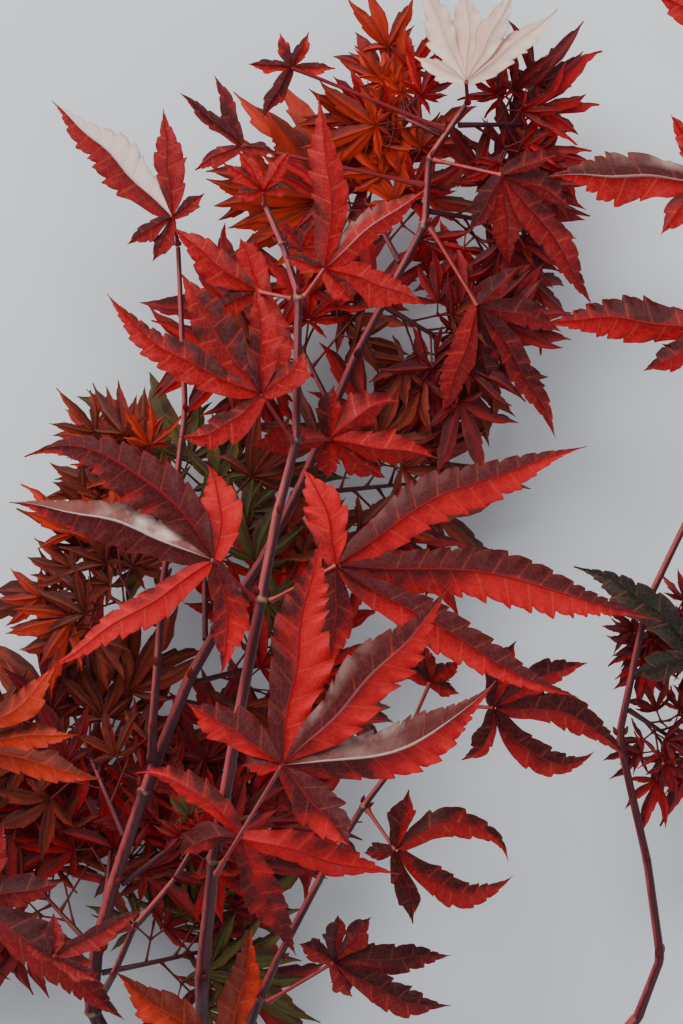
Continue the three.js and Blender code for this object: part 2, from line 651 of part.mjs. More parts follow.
// A spray: a twig with pairs of leaves, whose stalks, lean and lobes are dealt out by its seed.
function spraySolid({ on, tip, pairs, size, tilt, seed }) {
  const deal = dealer(seed);
  const between = ([low, high]) => low + (high - low) * deal();
  const end = vector(tip);
  const foot = footOn(on, end, TWIG_RADIUS);
  const rise = vector([0, 0, TWIG_BOW * foot.distanceTo(end)]);
  const twig = [foot, foot.clone().add(end).multiplyScalar(0.5).add(rise), end];
  const last = twig.length - 1;
  const centres = Array.from({ length: TWIG.steps + 1 }, (_, i) => (
    alongPath(twig, (last * i) / TWIG.steps)
  ));
  let solid = tubeSolid(centres, centres.map(() => TWIG_RADIUS), TWIG.sides);
  for (let k = 1; k <= pairs; k += 1) {
    const place = (last * (k + FIRST_PAIR * (pairs - k))) / pairs;
    const joint = alongPath(twig, place);
    const ahead = directionAt(twig, place);
    const course = THREE.MathUtils.radToDeg(Math.atan2(ahead.y, ahead.x));
    for (const hand of [-1, 1]) {
      solid = solid.add(sprayLeafSolid({ joint, course, hand, size, tilt, between }));
    }
  }
  return solid;
}

// A named mesh with the finish of its kind, from a solid.
function meshFrom(name, solid, finish) {
  const { numProp, vertProperties, triVerts } = solid.getMesh();
  const positions = new Float32Array((vertProperties.length / numProp) * 3);
  for (let i = 0; i * numProp < vertProperties.length; i += 1) {
    positions.set(vertProperties.subarray(i * numProp, i * numProp + 3), i * 3);
  }
  const geometry = new THREE.BufferGeometry();
  geometry.setAttribute("position", new THREE.BufferAttribute(positions, 3));
  geometry.setIndex(new THREE.BufferAttribute(new Uint32Array(triVerts), 1));
  geometry.computeVertexNormals();
  const material = new THREE.MeshStandardMaterial({ ...finish, metalness: 0 });
  const mesh = new THREE.Mesh(geometry, material);
  mesh.name = name;
  return mesh;
}

// Turns each path into points and puts the foot on the parent in front of them.
function settleShoots() {
  for (const shoot of Object.values(SHOOTS)) {
    shoot.path = shoot.path.map(vector);
    if (shoot.on) shoot.path.unshift(footOn(shoot.on, shoot.path[0], shoot.radius[0]));
  }
}

settleShoots();
const branch = new THREE.Group();
for (const [name, shoot] of Object.entries(SHOOTS)) {
  const finish = name === "cut_limb" ? FINISHES.limb : FINISHES.shoot;
  branch.add(meshFrom(name, shootSolid(shoot), finish));
}
for (const [name, leaf] of Object.entries(LARGE_LEAVES)) {
  branch.add(meshFrom(name, largeLeafSolid(leaf), FINISHES.leaf));
}
for (const [name, spray] of Object.entries(SPRAYS)) {
  branch.add(meshFrom(name, spraySolid(spray), FINISHES.spray));
}

// The origin is on the ground, under the middle of the branch.
const box = new THREE.Box3().setFromObject(branch);
const middle = box.getCenter(new THREE.Vector3());
branch.position.set(-middle.x, -middle.y, -box.min.z);

export default branch;
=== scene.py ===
"""A cut branch of a red japanese maple, lying on a pale studio floor under a camera that looks down.

Lengths are millimetres in the branch's own drawing frame: x runs across the branch, y along it to its
tips, z up from the ground. They become metres in the frame's place where the meshes are filled.
"""
import json
import math
from collections import namedtuple

import bpy
import numpy as np
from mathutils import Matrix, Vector


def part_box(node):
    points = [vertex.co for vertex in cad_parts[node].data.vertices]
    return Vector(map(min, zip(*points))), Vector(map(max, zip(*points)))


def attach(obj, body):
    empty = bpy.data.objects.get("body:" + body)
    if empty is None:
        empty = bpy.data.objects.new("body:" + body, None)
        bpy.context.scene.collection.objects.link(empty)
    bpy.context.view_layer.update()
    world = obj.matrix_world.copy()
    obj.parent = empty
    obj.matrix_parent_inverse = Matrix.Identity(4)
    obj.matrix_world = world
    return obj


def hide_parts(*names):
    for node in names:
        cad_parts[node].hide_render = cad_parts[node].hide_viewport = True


bl_info = {
    "name": "Japanese Maple Branch",
    "version": (1, 0, 0),
    "blender": (4, 5, 0),
    "location": "View3D > Sidebar > Branch",
    "description": "Dresses a cut maple branch with bark, shoots, toothed leaves and leafy sprays",
    "category": "Add Mesh",
}

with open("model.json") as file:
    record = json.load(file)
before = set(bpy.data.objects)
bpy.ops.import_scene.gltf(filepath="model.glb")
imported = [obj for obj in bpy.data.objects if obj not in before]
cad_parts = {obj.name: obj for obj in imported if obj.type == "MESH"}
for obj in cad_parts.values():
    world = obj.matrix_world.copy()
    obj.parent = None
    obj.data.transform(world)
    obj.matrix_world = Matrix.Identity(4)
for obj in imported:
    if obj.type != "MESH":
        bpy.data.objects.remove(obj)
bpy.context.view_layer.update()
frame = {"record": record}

MM = 0.001
PHOTO_FRAME = (150.26, 225.28)  # width and height of the picture, at the main shoot's height
SHOOT_HEIGHT = 88  # of the main shoot above the ground

# The sawn end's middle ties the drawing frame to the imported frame.
SAWN_END = np.array([41.0, -98.0, 6.0])
SHIFT = np.array(frame["record"]["mounts"][0]["pos_m"]) / MM - SAWN_END

# The halves of each lobe are painted light and shade by which way they face this direction.
LIGHT_WAY = np.array([-0.33, 0.94])  # which way the light comes from, on the ground
# Shoots, stalks and the limb are painted lighter on the side that faces this way, as lit; on young wood this
# is partly its real reddening.
SUNLIT_SIDE = np.array([-0.86, 0.26, 0.43])  # the side on which shoots and stalks grow red

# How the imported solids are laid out
CLEARANCE = 0.3
COLLAR = 1.28
COLLAR_REACH = 0.07
STALK_RADIUS = 0.6
TWIG_RADIUS = 0.7
LOBE_LIFT = 5
BEND_GROWTH = 1.6
STALK_BOW = 0.06
TWIG_BOW = 0.08
WIDEST_SECTOR = 150
SECTOR_OVERLAP = 1.25
LOBE_WIGGLE = 7
LEAST_ROOM = 0.05
SPRAY_STALK_RADIUS = 0.36
GROUND_SOFTNESS = 0.5  # how near to the ground leaves start to bend along it

# Limbs and shoots: parent and place along its joints, half thickness at foot and tip, how far the
# collars swell where it is less than a full one, and joints.
SHOOTS = {
    "cut_limb": {
        "radius": (5.6, 3.0), "collars": 0.25,
        "path": [(41, -98, 6), (41, -86, 6), (41, -72, 6), (42.5, -48, 9), (43.5, -25, 17)],
    },
    "main_shoot": {
        "on": ("cut_limb", 4),
        "radius": (1.7, 0.65),
        "path": [(43.5, -14, 27), (44, 9, 58), (47, 36, 78), (52, 65, 85), (57.5, 93.5, 88),
                 (61, 112, 87), (65, 128.5, 86), (65.5, 160, 81), (62, 172, 78), (58.5, 180, 76)],
    },
    "rear_shoot": {
        "on": ("cut_limb", 3.2),
        "radius": (1.8, 0.65),
        "path": [(31, -24, 19), (19, 0, 33), (20, 14, 42), (24, 29, 48), (31, 50, 53), (41, 75, 55),
                 (49, 89, 54), (58, 103, 52), (67, 121, 50), (78, 147, 48), (93.5, 177, 46),
                 (95, 192, 45), (103, 204, 44)],
    },
    "dark_shoot": {
        "on": ("rear_shoot", 5.3),
        "radius": (1.1, 0.55),
        "path": [(33, 64, 60), (34, 78, 62), (35.5, 98, 60), (40, 135, 54), (38.5, 172, 50)],
    },
    "right_shoot": {
        "on": ("cut_limb", 3.6),
        "radius": (1.15, 0.55),
        "path": [(50, -16, 28), (57, 4, 50), (61, 13, 56), (72, 34, 62), (80, 47, 64), (90, 60, 64),
                 (104, 69, 64)],
    },
    "red_shoot": {
        "on": ("rear_shoot", 2.2),
        "radius": (0.9, 0.55),
        "path": [(24, 9, 52), (29, 20, 60), (38, 31, 64)],
    },
    "far_left_shoot": {
        "on": ("cut_limb", 2.1),
        "radius": (1.4, 0.65),
        "path": [(24, -46, 14), (4, -20, 26), (-12, 12, 40), (-19, 40, 50), (-20, 60, 54)],
    },
    "far_right_limb": {
        "on": ("cut_limb", 1.2),
        "radius": (2.2, 1.3),
        "path": [(64, -67, 9), (96, -46, 14), (124, -24, 21), (142, -2, 28)],
    },
    "far_right_shoot": {
        "on": ("far_right_limb", 4),
        "radius": (1.1, 0.5),
        "path": [(147, 12, 33), (144, 34, 37), (138, 62, 40), (144, 92, 44), (157, 120, 46),
                 (165, 150, 48), (164, 180, 48), (158, 205, 46)],
    },
}

# Large leaves: the shoot and joint that carry the stalk, where the lobes meet, which way and how far
# the leaf leans, its droop, its tint, and for each lobe its heading, length, width, bend, tone from -1
# for bright to 1 for deep, which shifts how much of it takes its tint's painted light or painted
# shade, and how glossy its upper half is and how strongly that is painted with sheen and glare.
LargeLeaf = namedtuple("LargeLeaf", "on at lean droop tint lobes")
Blade = namedtuple("Blade", "lean droop lobes")  # what a spray deals out for one of its leaves
LARGE_LEAVES = {
    "leaf_mid_left": LargeLeaf(("main_shoot", 5), (47.1, 101.9, 95), (120, 14), 20, "red", (
        (119, 53, 14, 84, 0.8), (156, 51, 12, 16, 1.1, 1), (78, 24, 10.5, 46, -0.5),
        (214, 44, 9, -4, -0.8), (288, 25, 10, -40, 0.25))),
    "leaf_mid_right": LargeLeaf(("main_shoot", 5), (73.9, 100.8, 92), (60, 10), 14, "red", (
        (34, 65, 13.5, -20, 0.35, 0.1), (-3, 76, 14.5, -13, 0.1), (-35, 62, 11.5, 18, 0),
        (97, 23, 11.5, 30, -0.6), (271, 23, 10, -12, 0.4))),
    "leaf_front": LargeLeaf(("main_shoot", 2.92), (62.3, 57.9, 118), (200, 12), -14, "red", (
        (84, 51, 15.5, -10, 0), (43, 56, 14.5, 8, 0.3, 0.3), (4, 52, 14, 46, 0.5, 0.75),
        (144, 25, 11.5, 4, -0.1), (-49, 24, 12.5, 4, 0.4), (178, 9, 5.5, 10, 0))),
    "leaf_low": LargeLeaf(("main_shoot", 3), (52.8, 41, 86), (250, 18), 20, "red", (
        (-13, 36, 10, -3, -0.4), (-70, 32, 10.5, 4, 0.1), (126, 29, 8, 72, 0.2),
        (170, 16, 8.5, 86, 0.7))),
    "leaf_upper_left": LargeLeaf(("main_shoot", 7), (57.6, 138.4, 96), (130, 16), 10, "red", (
        (161, 42, 10, -36, -0.5), (127, 35, 13, -8, -0.1), (88, 25, 9, 13, 0),
        (33, 14, 8.5, 42, -0.6), (226, 22, 9, -58, -0.5))),
    "leaf_upper_right": LargeLeaf(("main_shoot", 7), (72.4, 128.7, 79), (300, 15), 24, "red", (
        (45, 19, 9.5, -54, -0.8), (-6, 25, 9, -12, -0.9), (-38, 17, 8, 5, -0.4), (-92, 9, 6.5, 0, 0),
        (184, 18, 8, 10, -0.3), (92, 12, 7, -20, 0.2))),
    "leaf_high_right": LargeLeaf(("main_shoot", 8), (71.3, 166.3, 83), (40, 15), 12, "red", (
        (85, 39, 10, 18, -0.9), (41, 31, 8.5, -5, -0.6, 0.5), (-14, 25, 10.5, -8, -1.2),
        (-48, 10, 7, 0, -0.4), (161, 9, 5, 0, 0))),
    "leaf_high_left": LargeLeaf(("main_shoot", 8), (56.8, 161.5, 73), (150, 16), 18, "red", (
        (147, 25, 9, -12, -0.6), (106, 14, 8, 15, -0.9), (-64, 22, 8.5, -40, -0.3),
        (196, 12, 7, 10, 0))),
    "leaf_tip": LargeLeaf(("main_shoot", 10), (57.9, 183.5, 79), (90, 12), -10, "red", (
        (143, 11, 4.8, 10, -0.9), (117, 11, 5, 12, -0.7), (60, 11, 5, -10, -1.1),
        (8, 6, 3.8, 0, -0.3), (186, 7, 3.8, 0, -0.5))),
    "leaf_tip_right": LargeLeaf(("main_shoot", 9), (66, 171, 71), (60, 20), 20, "red", (
        (70, 9, 5, -40, -0.5), (4, 9, 5, -8, -0.8), (118, 8, 4.6, 10, 0))),
    "leaf_low_right": LargeLeaf(("right_shoot", 5), (87.1, 37.6, 70), (330, 12), 10, "red", (
        (76, 14, 7, 5, 0.2), (35, 32, 8, -112, 0), (-49, 32, 8.5, 92, -0.2), (-71, 17, 7.5, -16, 0.2),
        (186, 7, 5, 0, 0.4))),
    "leaf_foot_right": LargeLeaf(("right_shoot", 2), (73.5, 12.5, 66), (20, 14), 12, "maroon", (
        (82, 11, 7, 3, 0), (51, 13, 8, 0, 0), (3, 28, 9, 0, 0.2), (-37, 29, 9.5, 42, 0.2),
        (-66, 9, 6.5, 12, 0), (145, 9, 6, 18, 0))),
    "leaf_star_right": LargeLeaf(("right_shoot", 7), (108.9, 69.1, 68), (310, 16), 14, "red", (
        (84, 16, 8, -34, 0.1), (34, 25, 8, -32, 0), (-2, 37, 9, -56, 0.1), (-63, 29, 8.5, 104, 0.1),
        (269, 15, 7, -74, 0.3))),
    "leaf_small_right": LargeLeaf(("right_shoot", 6), (94.8, 74.5, 61), (80, 20), 16, "red", (
        (96, 9, 5.5, 10, 0.2), (42, 9, 5.5, -10, -0.6), (143, 9, 5.5, 10, 0.3),
        (-20, 7, 4.4, 0, 0.2))),
    "leaf_edge_left": LargeLeaf(("far_left_shoot", 4), (-12, 62, 64), (180, 16), 8, "orange", (
        (18, 31, 10, 46, -0.1), (2, 28, 10, 2, -0.2), (-18, 35, 9.5, 8, 0), (95, 26, 9, 20, 0),
        (250, 18, 8, -20, 0))),
    "leaf_foot_left": LargeLeaf(("far_left_shoot", 3), (-8, 26, 56), (200, 18), 16, "maroon", (
        (-38, 44, 14, -8, 0), (8, 21, 9, 6, 0), (60, 20, 8, 20, 0), (150, 20, 9, 20, 0),
        (255, 22, 9, -10, 0))),
    "leaf_small_left": LargeLeaf(("red_shoot", 2), (11, 13.6, 70), (110, 30), 10, "maroon", (
        (31, 24, 6.5, 4, 0), (85, 10, 5, 10, 0), (-24, 12, 5, -6, 0), (150, 8, 4.4, 0, 0))),
    "leaf_foot": LargeLeaf(("main_shoot", 1), (49.5, -9, 58), (40, 14), 12, "orange", (
        (144, 32, 11, -8, 0.2), (77, 30, 9.5, 6, 0.4), (16, 22, 8, -14, 0), (196, 18, 8, 12, 0),
        (-40, 16, 7.5, 0, 0))),
    "leaf_edge_top": LargeLeaf(("far_right_shoot", 8), (160, 217, 56), (30, 12), 12, "red", (
        (130, 20, 8, 26, -0.8), (80, 24, 9, -10, 0), (30, 22, 8, -20, 0), (-20, 14, 7, -10, 0))),
    "leaf_edge_upper": LargeLeaf(("far_right_shoot", 7), (157, 186, 57), (100, 12), 14, "red", (
        (172, 37, 14, 8, 0, 0.5), (222, 16, 7, 14, -0.5), (110, 18, 8, 20, 0), (52, 20, 9, -10, 0),
        (-8, 20, 9, -12, 0))),
    "leaf_edge_middle": LargeLeaf(("far_right_shoot", 6), (158, 153, 57), (240, 12), 14, "red", (
        (170, 40, 12, 24, -0.2), (215, 18, 8, -14, 0), (100, 16, 8, 20, 0), (30, 24, 10, -8, 0),
        (-30, 22, 9, -8, 0))),
    "leaf_edge_lower": LargeLeaf(("far_right_shoot", 5), (155, 80, 54), (60, 14), 14, "dark", (
        (128, 36, 10.5, 36, 0.3), (85, 20, 9, 8, 0), (190, 16, 8, 14, 0), (30, 26, 10, -8, 0),
        (-30, 22, 9, -8, 0))),
    "leaf_high_rear": LargeLeaf(("dark_shoot", 5), (37.4, 178.5, 56), (140, 18), 14, "maroon", (
        (134, 42, 12, 5, 0.2, 1.6), (94, 25, 8.5, 3, -0.4), (207, 12, 5.5, 10, -0.2),
        (245, 11, 5.5, -8, -0.2), (40, 9, 4.5, 0, 0))),
    "leaf_thin_rear": LargeLeaf(("rear_shoot", 11.6), (52.8, 194.5, 55), (110, 16), 12, "maroon", (
        (137, 19, 4, 6, 0.2), (109, 19, 4.6, 5, 0), (200, 12, 5.5, 14, -0.3), (-10, 8, 4, 0, 0))),
    "leaf_star_rear": LargeLeaf(("rear_shoot", 12.5), (64, 212, 55), (90, 14), 14, "red", (
        (5, 10, 4, -10, 0.3), (62, 9, 3.8, 6, 0.2), (108, 9, 3.8, 0, 0.1), (172, 10, 4, 8, 0.2),
        (236, 13, 5, 6, 0.4))),
    "leaf_pale_rear": LargeLeaf(("rear_shoot", 13), (103, 209, 54), (80, 18), -6, "pale", (
        (117, 25, 8.5, -8, 0), (88, 24, 8.5, 6, 0), (62, 23, 8, 0, 0), (36, 27, 7.5, 8, 0),
        (150, 13, 5.5, 10, 0))),
    "leaf_droop_rear": LargeLeaf(("rear_shoot", 12), (111, 188, 54), (310, 22), 22, "maroon", (
        (-51, 37, 9, -8, -0.3), (-84, 23, 9, 6, -0.3), (-16, 20, 8, -26, 0.2), (24, 14, 6.5, -20, 0),
        (-122, 15, 6.5, 10, 0.2))),
    "leaf_hang_rear": LargeLeaf(("rear_shoot", 11), (105.6, 159, 50), (290, 20), 18, "maroon", (
        (-12, 22, 8, -22, -0.2), (-53, 36, 7.5, -16, 0.1), (-80, 29, 8.5, 0, 0.4),
        (-106, 27, 9, -6, -1.4), (40, 12, 6, 0, 0))),
}

# Sprays: the shoot and place that carry the twig, the twig's tip, its pairs of leaves, their size and
# tilt, the seed that deals out their places, and the tints of most leaves and of every third one.
Spray = namedtuple("Spray", "on tip pairs size tilt seed tints")
SPRAYS = {
    "spray_top": Spray(("rear_shoot", 12.4), (86, 203, 38), 2, 17, 38, 24, ("orange", "red")),
    "spray_top_right": Spray(("rear_shoot", 12.7), (116, 200, 36), 1, 19, 40, 30, ("red", "maroon")),
    "spray_high_right": Spray(("rear_shoot", 11.2), (111, 178, 30), 2, 22, 42, 47, ("maroon", "red")),
    "spray_droop_right": Spray(("rear_shoot", 10.4), (100, 150, 38), 2, 22, 42, 29, ("maroon", "brown")),
    "spray_centre_high": Spray(("rear_shoot", 10.7), (78, 188, 26), 2, 24, 38, 93, ("orange", "red")),
    "spray_centre_right": Spray(("rear_shoot", 8.8), (90, 119, 24), 1, 24, 38, 106, ("brown", "red")),
    "spray_centre": Spray(("rear_shoot", 9.6), (64, 154, 30), 2, 25, 38, 134, ("red", "brown")),
    "spray_mid_left": Spray(("dark_shoot", 3.6), (25, 122, 34), 2, 16, 38, 24, ("brown", "orange")),
    "spray_left": Spray(("dark_shoot", 2.5), (19, 96, 44), 1, 20, 38, 21, ("brown", "orange")),
    "spray_behind": Spray(("rear_shoot", 6.6), (44, 118, 28), 1, 28, 35, 119, ("olive", "brown")),
    "spray_heart": Spray(("rear_shoot", 6), (64, 80, 32), 2, 25, 38, 47, ("red", "brown")),
    "spray_low_left": Spray(("rear_shoot", 4.5), (14, 68, 30), 2, 24, 38, 128, ("brown", "maroon")),
    "spray_low": Spray(("rear_shoot", 4), (54, 50, 30), 2, 25, 38, 138, ("maroon", "red")),
    "spray_low_mid": Spray(("rear_shoot", 3.5), (24, 46, 26), 2, 24, 38, 47, ("red", "maroon")),
    "spray_foot_left": Spray(("rear_shoot", 3), (4, 30, 26), 2, 26, 38, 75, ("maroon", "brown")),
    "spray_foot": Spray(("rear_shoot", 2.6), (48, 14, 26), 2, 25, 38, 138, ("olive", "maroon")),
    "spray_red": Spray(("red_shoot", 3), (42, 38, 64), 1, 14, 34, 104, ("red", "olive")),
    "spray_rear_right": Spray(("far_right_shoot", 4), (146, 90, 30), 1, 15, 42, 57, ("maroon", "red")),
    "spray_edge_right": Spray(("far_right_shoot", 3.2), (152, 60, 28), 1, 16, 42, 131, ("maroon", "red")),
}

# What a spray deals out for each leaf, and the turns and shares of its lobes
DEALS = {
    "turn": (28, 62),
    "climb": (-20, 25),
    "stalk": (0.25, 0.45),
    "scale": (0.85, 1.15),
    "tilt": (0.2, 1),
    "droop": (5, 45),
    "sway": (-9, 9),
    "length": (0.9, 1.1),
    "width": (0.24, 0.31),
    "bend": (-35, 35),
}
SPRAY_LOBES = ((0, 1), (-40, 0.9), (40, 0.88), (-84, 0.55), (86, 0.55))
BASAL_LOBES = ((-128, 0.26), (130, 0.26))  # the two small lobes beside the stalk
BASAL_LOOKS = ((-8, 8), 0.26, (-20, 20))  # their turn, width of their length, and bend
FIRST_PAIR = 0.35  # where the first of two pairs of leaves stands along the twig
LOOKS_SEED = 1000  # added to a spray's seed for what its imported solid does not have

# Twigs and stalks: a twig's taper, sides and steps, and a stalk's sides and steps
TWIG_TAPER = 0.55
TWIG_SIDES = 8
TWIG_STEPS = 13
LARGE_STALK = (12, 18)
SPRAY_STALK = (6, 7)
FINE_STALK = (6, 5)
FINE_STALK_RADIUS = SPRAY_STALK_RADIUS * 0.8
STALK_SLOT = 2  # after the spray's two tints
TWIG_SLOT = 3

# Finer twigs of a spray: where the first one stands and how far they spread, in shares of the twig, and
# what each deals out, in shares of the spray's size and in degrees
FINE_TWIGS = 6
FINE_START = 0.25
FINE_SPAN = 0.7
FINE_LENGTH = (0.3, 0.75)
FINE_TURN = (30, 80)
FINE_CLIMB = (-12, 22)
FINE_SCALE = (0.6, 0.9)
FINE_REACH = 0.64  # how far its leaves reach round its tip, of their size
FINE_SHIFT = 0.5  # how far its tip may be moved to keep to the spray's own space

# Its leaves: place along it and side, size of the side ones, turn, stalk and rise of the stalk
FINE_LEAVES = ((1.0, 0), (0.6, -1), (0.6, 1))
FINE_SIDE_LEAF = 0.8
FINE_LEAF_TURN = (40, 80)
FINE_LEAF_STALK = (0.2, 0.35)
FINE_LEAF_RISE = 0.2

# One tooth of a leaf's margin, from its foot to its tip and back: a small tooth comes first, and the
# side vein ends in the large one. The teeth of one half come half a tooth after those of the other.
TOOTH_PLACES = (0, 0.16, 0.36, 0.46, 0.68, 0.84, 0.9, 0.95, 1)
TOOTH_HEIGHTS = (0, 0.5, 0.78, 0.62, 0.95, 1.08, 1.1, 0.66, 0)
TOOTH_MEAN = 0.6
TOOTH_SHIFT = 0.5
TOOTH_TAPER = (1.25, 0.6)  # length of the first tooth and of the last
TOOTH_LENGTHS = (0.65, 1.35)
TOOTH_DEPTHS = (0.4, 1.3)
LEAST_TEETH = 3
COARSE_TEETH = 0.7  # share of the teeth that a far leaf keeps
VEIN_PLACE = 0.9
VEIN_LEAN = math.radians(34)

# A lobe's rows of points: at its foot, where it has no teeth, and within each tooth of a near leaf and
# of a far one. Its columns are shares of the half width.
FOOT_ROWS = (0.015, 0.05, 0.09)
FIRST_TOOTH = 0.12
FINE_PLACES = (0, 0.13, 0.26, 0.4, 0.45, 0.5, 0.63, 0.76, 0.9, 0.95)
COARSE_PLACES = (0, 0.4, 0.9)
FINE_COLUMNS = (0, 0.08, 0.3, 0.55, 0.78, 0.94, 1)
COARSE_COLUMNS = (0, 0.55, 1)

# What is dealt out for each lobe, and the shape of its sheet in shares of the half width or length
LOBE_ROLL = (-26, 26)
LOBE_WAVES = (1.2, 2.4)
LOBE_SEEDS = (0, 1e6)
TONE_SWAY = (-0.25, 0.25)
SHEET_THICKNESS = ((0, 0.2, 1), (2.2, 1, 0.6))  # from the midrib to the margin, of the blade's
EDGE_WAVE = 0.09
FOLD_LOSS = 0.3  # how much less a lobe is folded at its tip
RIB_WIDTH = 0.1
RIB_LOSS = 0.65
PUFF = 0.05  # how far the blade sinks between two side veins
WAVE_SHARE = 0.8  # height of the slow waves, of the ruffle's
RIB_REACH = 0.08
MARGIN_START = 0.9
# Painted light and shade: each facet between two side veins is painted brighter on one side and deeper on the
# other.
FACET_SHADE = 0.3  # how much brighter and deeper the tissue is on either side of a vein

# Bark: a joint's swelling and scar, how it is ridged, and how a shoot grows out of its parent
BARE_JOINT = 0.25  # swelling of a joint that carries nothing, of a full collar
COLLAR_WIDTH = 0.5
SCAR_WIDTH = 0.12
SCAR = 0.06
RIDGE_WAVES = (3, 5, 8, 11)
RIDGE_CLIMB = (0.05, 0.2)
ROUND = (0, 6.28)
SHADOW_REACH = 0.2  # how far below a joint the bark is dark
FOOT_SINK = 1.2  # how far a shoot's bark reaches into its parent's tip
FOOT_SHARE = 0.7  # how far it reaches into its parent's side, of the way to the parent's middle
FOOT_NARROW = 0.8
SIDE_FLARE = 0.4
TIP_FLARE = 0.95  # half thickness of a foot on its parent's tip, of the parent's there
TIP_FLARE_REACH = 3
YOUNG_RELIEF = 0.35  # relief of young bark, of the limb's
LIMB_GRID = (40, 48)  # rows between two joints, and sides
SHOOT_GRID = (10, 18)
SAWN_SHARES = (0.2, 0.55, 0.9)
SAWN_PLATE = (0.1, 0.6)  # how far the sawn face stands out of the bark's end, and its thickness

# Buds: how those of even and odd joints are turned round the shoot, how far out and forward of a joint
# they stand in half thicknesses, and their length and half thickness, with what each mm of shoot adds
BUD_TURNS = ((1.2, 1.9), (0, 3.14))
BUD_LEAN = 0.45
BUD_FOOT = (0.95, 0.4)
BUD_LENGTH = (1.6, 0.9)
BUD_RADIUS = (0.35, 0.3)
BUD_SIDES = 10

# Seeds of the limb, of the first shoot and of the first large leaf
LIMB_SEED = 3
SHOOT_SEED = 12
LEAF_SEED = 31

# Angles over which an edge is drawn sharp
LIMB_EDGE = math.radians(50)
SHOOT_EDGE = math.radians(60)
LEAF_EDGE = math.radians(65)

# Colours of the bright half of a lobe and of the deep one, for each tint: painted light and painted
# shade, the bright half as if light shone through it from behind, the deep half on the side that faces the
# light
TINTS = {
    "red": ((0.46, 0.004, 0.010), (0.058, 0.004, 0.006)),
    "maroon": ((0.28, 0.008, 0.013), (0.050, 0.004, 0.007)),
    "orange": ((0.56, 0.030, 0.010), (0.13, 0.012, 0.006)),
    "brown": ((0.27, 0.032, 0.016), (0.050, 0.010, 0.007)),
    "olive": ((0.13, 0.10, 0.025), (0.028, 0.024, 0.010)),
    # The pale tint paints the glare of light reflected off the rear leaves as their colour.
    "pale": ((0.92, 0.68, 0.57), (0.72, 0.44, 0.35)),
    "dark": ((0.035, 0.022, 0.014), (0.010, 0.010, 0.008)),
}
VEIN_COLOUR = (0.80, 0.22, 0.11)
FINISH = ("Colour", "NodeSocketColor"), ("Roughness", "NodeSocketFloat"), ("Height", "NodeSocketFloat")

# Bark: the colours of its shaded side and its sunlit side, painted shade and painted light that on young
# shoots and stalks is partly their real reddening, of its joints, and of its painted shadows, that are not
# settings, how strongly its cracks take the painted shadow, the height of its fine relief, and its specular
# level
BARKS = {
    "Leaf stalk": (((0.20, 0.007, 0.012), (0.62, 0.10, 0.09), (0.55, 0.16, 0.12), (0.12, 0.008, 0.012)),
                   0.0, 0.03, 0.35),
    "Spray stalk": (((0.09, 0.006, 0.010), (0.26, 0.022, 0.024), (0.30, 0.10, 0.08), (0.05, 0.006, 0.008)),
                    0.0, 0.03, 0.25),
    "Limb bark": (((0.20, 0.145, 0.125), (0.035, 0.026, 0.024)), 0.8, 0.35, 0.3),
    "Young bark": (((0.022, 0.008, 0.014),), 0.15, 0.05, 0.35),
}
# The limb's side that faces the light is painted lighter than its bark.
LIMB_SUNLIT = 1.5  # colour of the limb's sunny side, of its bark
LEAF_BUMP = 0.06
LEAF_SPECULAR = 0.22

# Lights: which way and how far off, width and height, and colour
LIGHTS = {
    "key": ((-0.35, 1.0, 1.0), (1.1, 0.9), (1, 0.97, 0.93)),
    "fill": ((0.45, -1.0, 0.75), (1.2, 1.2), (1, 0.96, 0.92)),
    "top": ((0.05, 0.1, 1.6), (1.3, 0.7), (1, 1, 1)),
}
FLOOR_REACH = 3.0


class LeafShape(bpy.types.PropertyGroup):
    """Sizes that every blade shares."""

    thickness: bpy.props.FloatProperty(
        name="Blade thickness", description="Thickness of a blade between its veins",
        default=0.26 * MM, min=0.05 * MM, unit="LENGTH")
    fold: bpy.props.FloatProperty(
        name="Fold", description="How far the halves of a lobe fall away from its midrib",
        default=math.radians(24), subtype="ANGLE")
    tooth_depth: bpy.props.FloatProperty(
        name="Tooth depth", description="Depth of the large teeth, of the lobe's half width",
        default=0.23, min=0, max=1, subtype="FACTOR")
    tooth_step: bpy.props.FloatProperty(
        name="Tooth step", description="Distance between two large teeth on a long lobe",
        default=5 * MM, min=1 * MM, unit="LENGTH")
    rib: bpy.props.FloatProperty(
        name="Midrib", description="How far the midrib stands out of the blade",
        default=0.4 * MM, unit="LENGTH")
    ruffle: bpy.props.FloatProperty(
        name="Ruffle", description="Rise and fall of the margin, of the lobe's half width",
        default=0.1, min=0, max=1, subtype="FACTOR")


def colour(name, description, default):
    """A colour setting."""
    return bpy.props.FloatVectorProperty(
        name=name, description=description, default=default, min=0, max=1, subtype="COLOR")


class BranchTints(bpy.types.PropertyGroup):
    """Base colours of the leaves, for each tint: the bright half of a lobe, painted light shining through it,
    and the deep half, painted shade on the side that faces the light.
    """

    __annotations__ = {
        f"{tint}_{half}": colour(f"{tint.title()}, {half}", f"The {half} half of each {tint} lobe", default)
        for tint, halves in TINTS.items() for half, default in zip(("bright", "deep"), halves)
    }


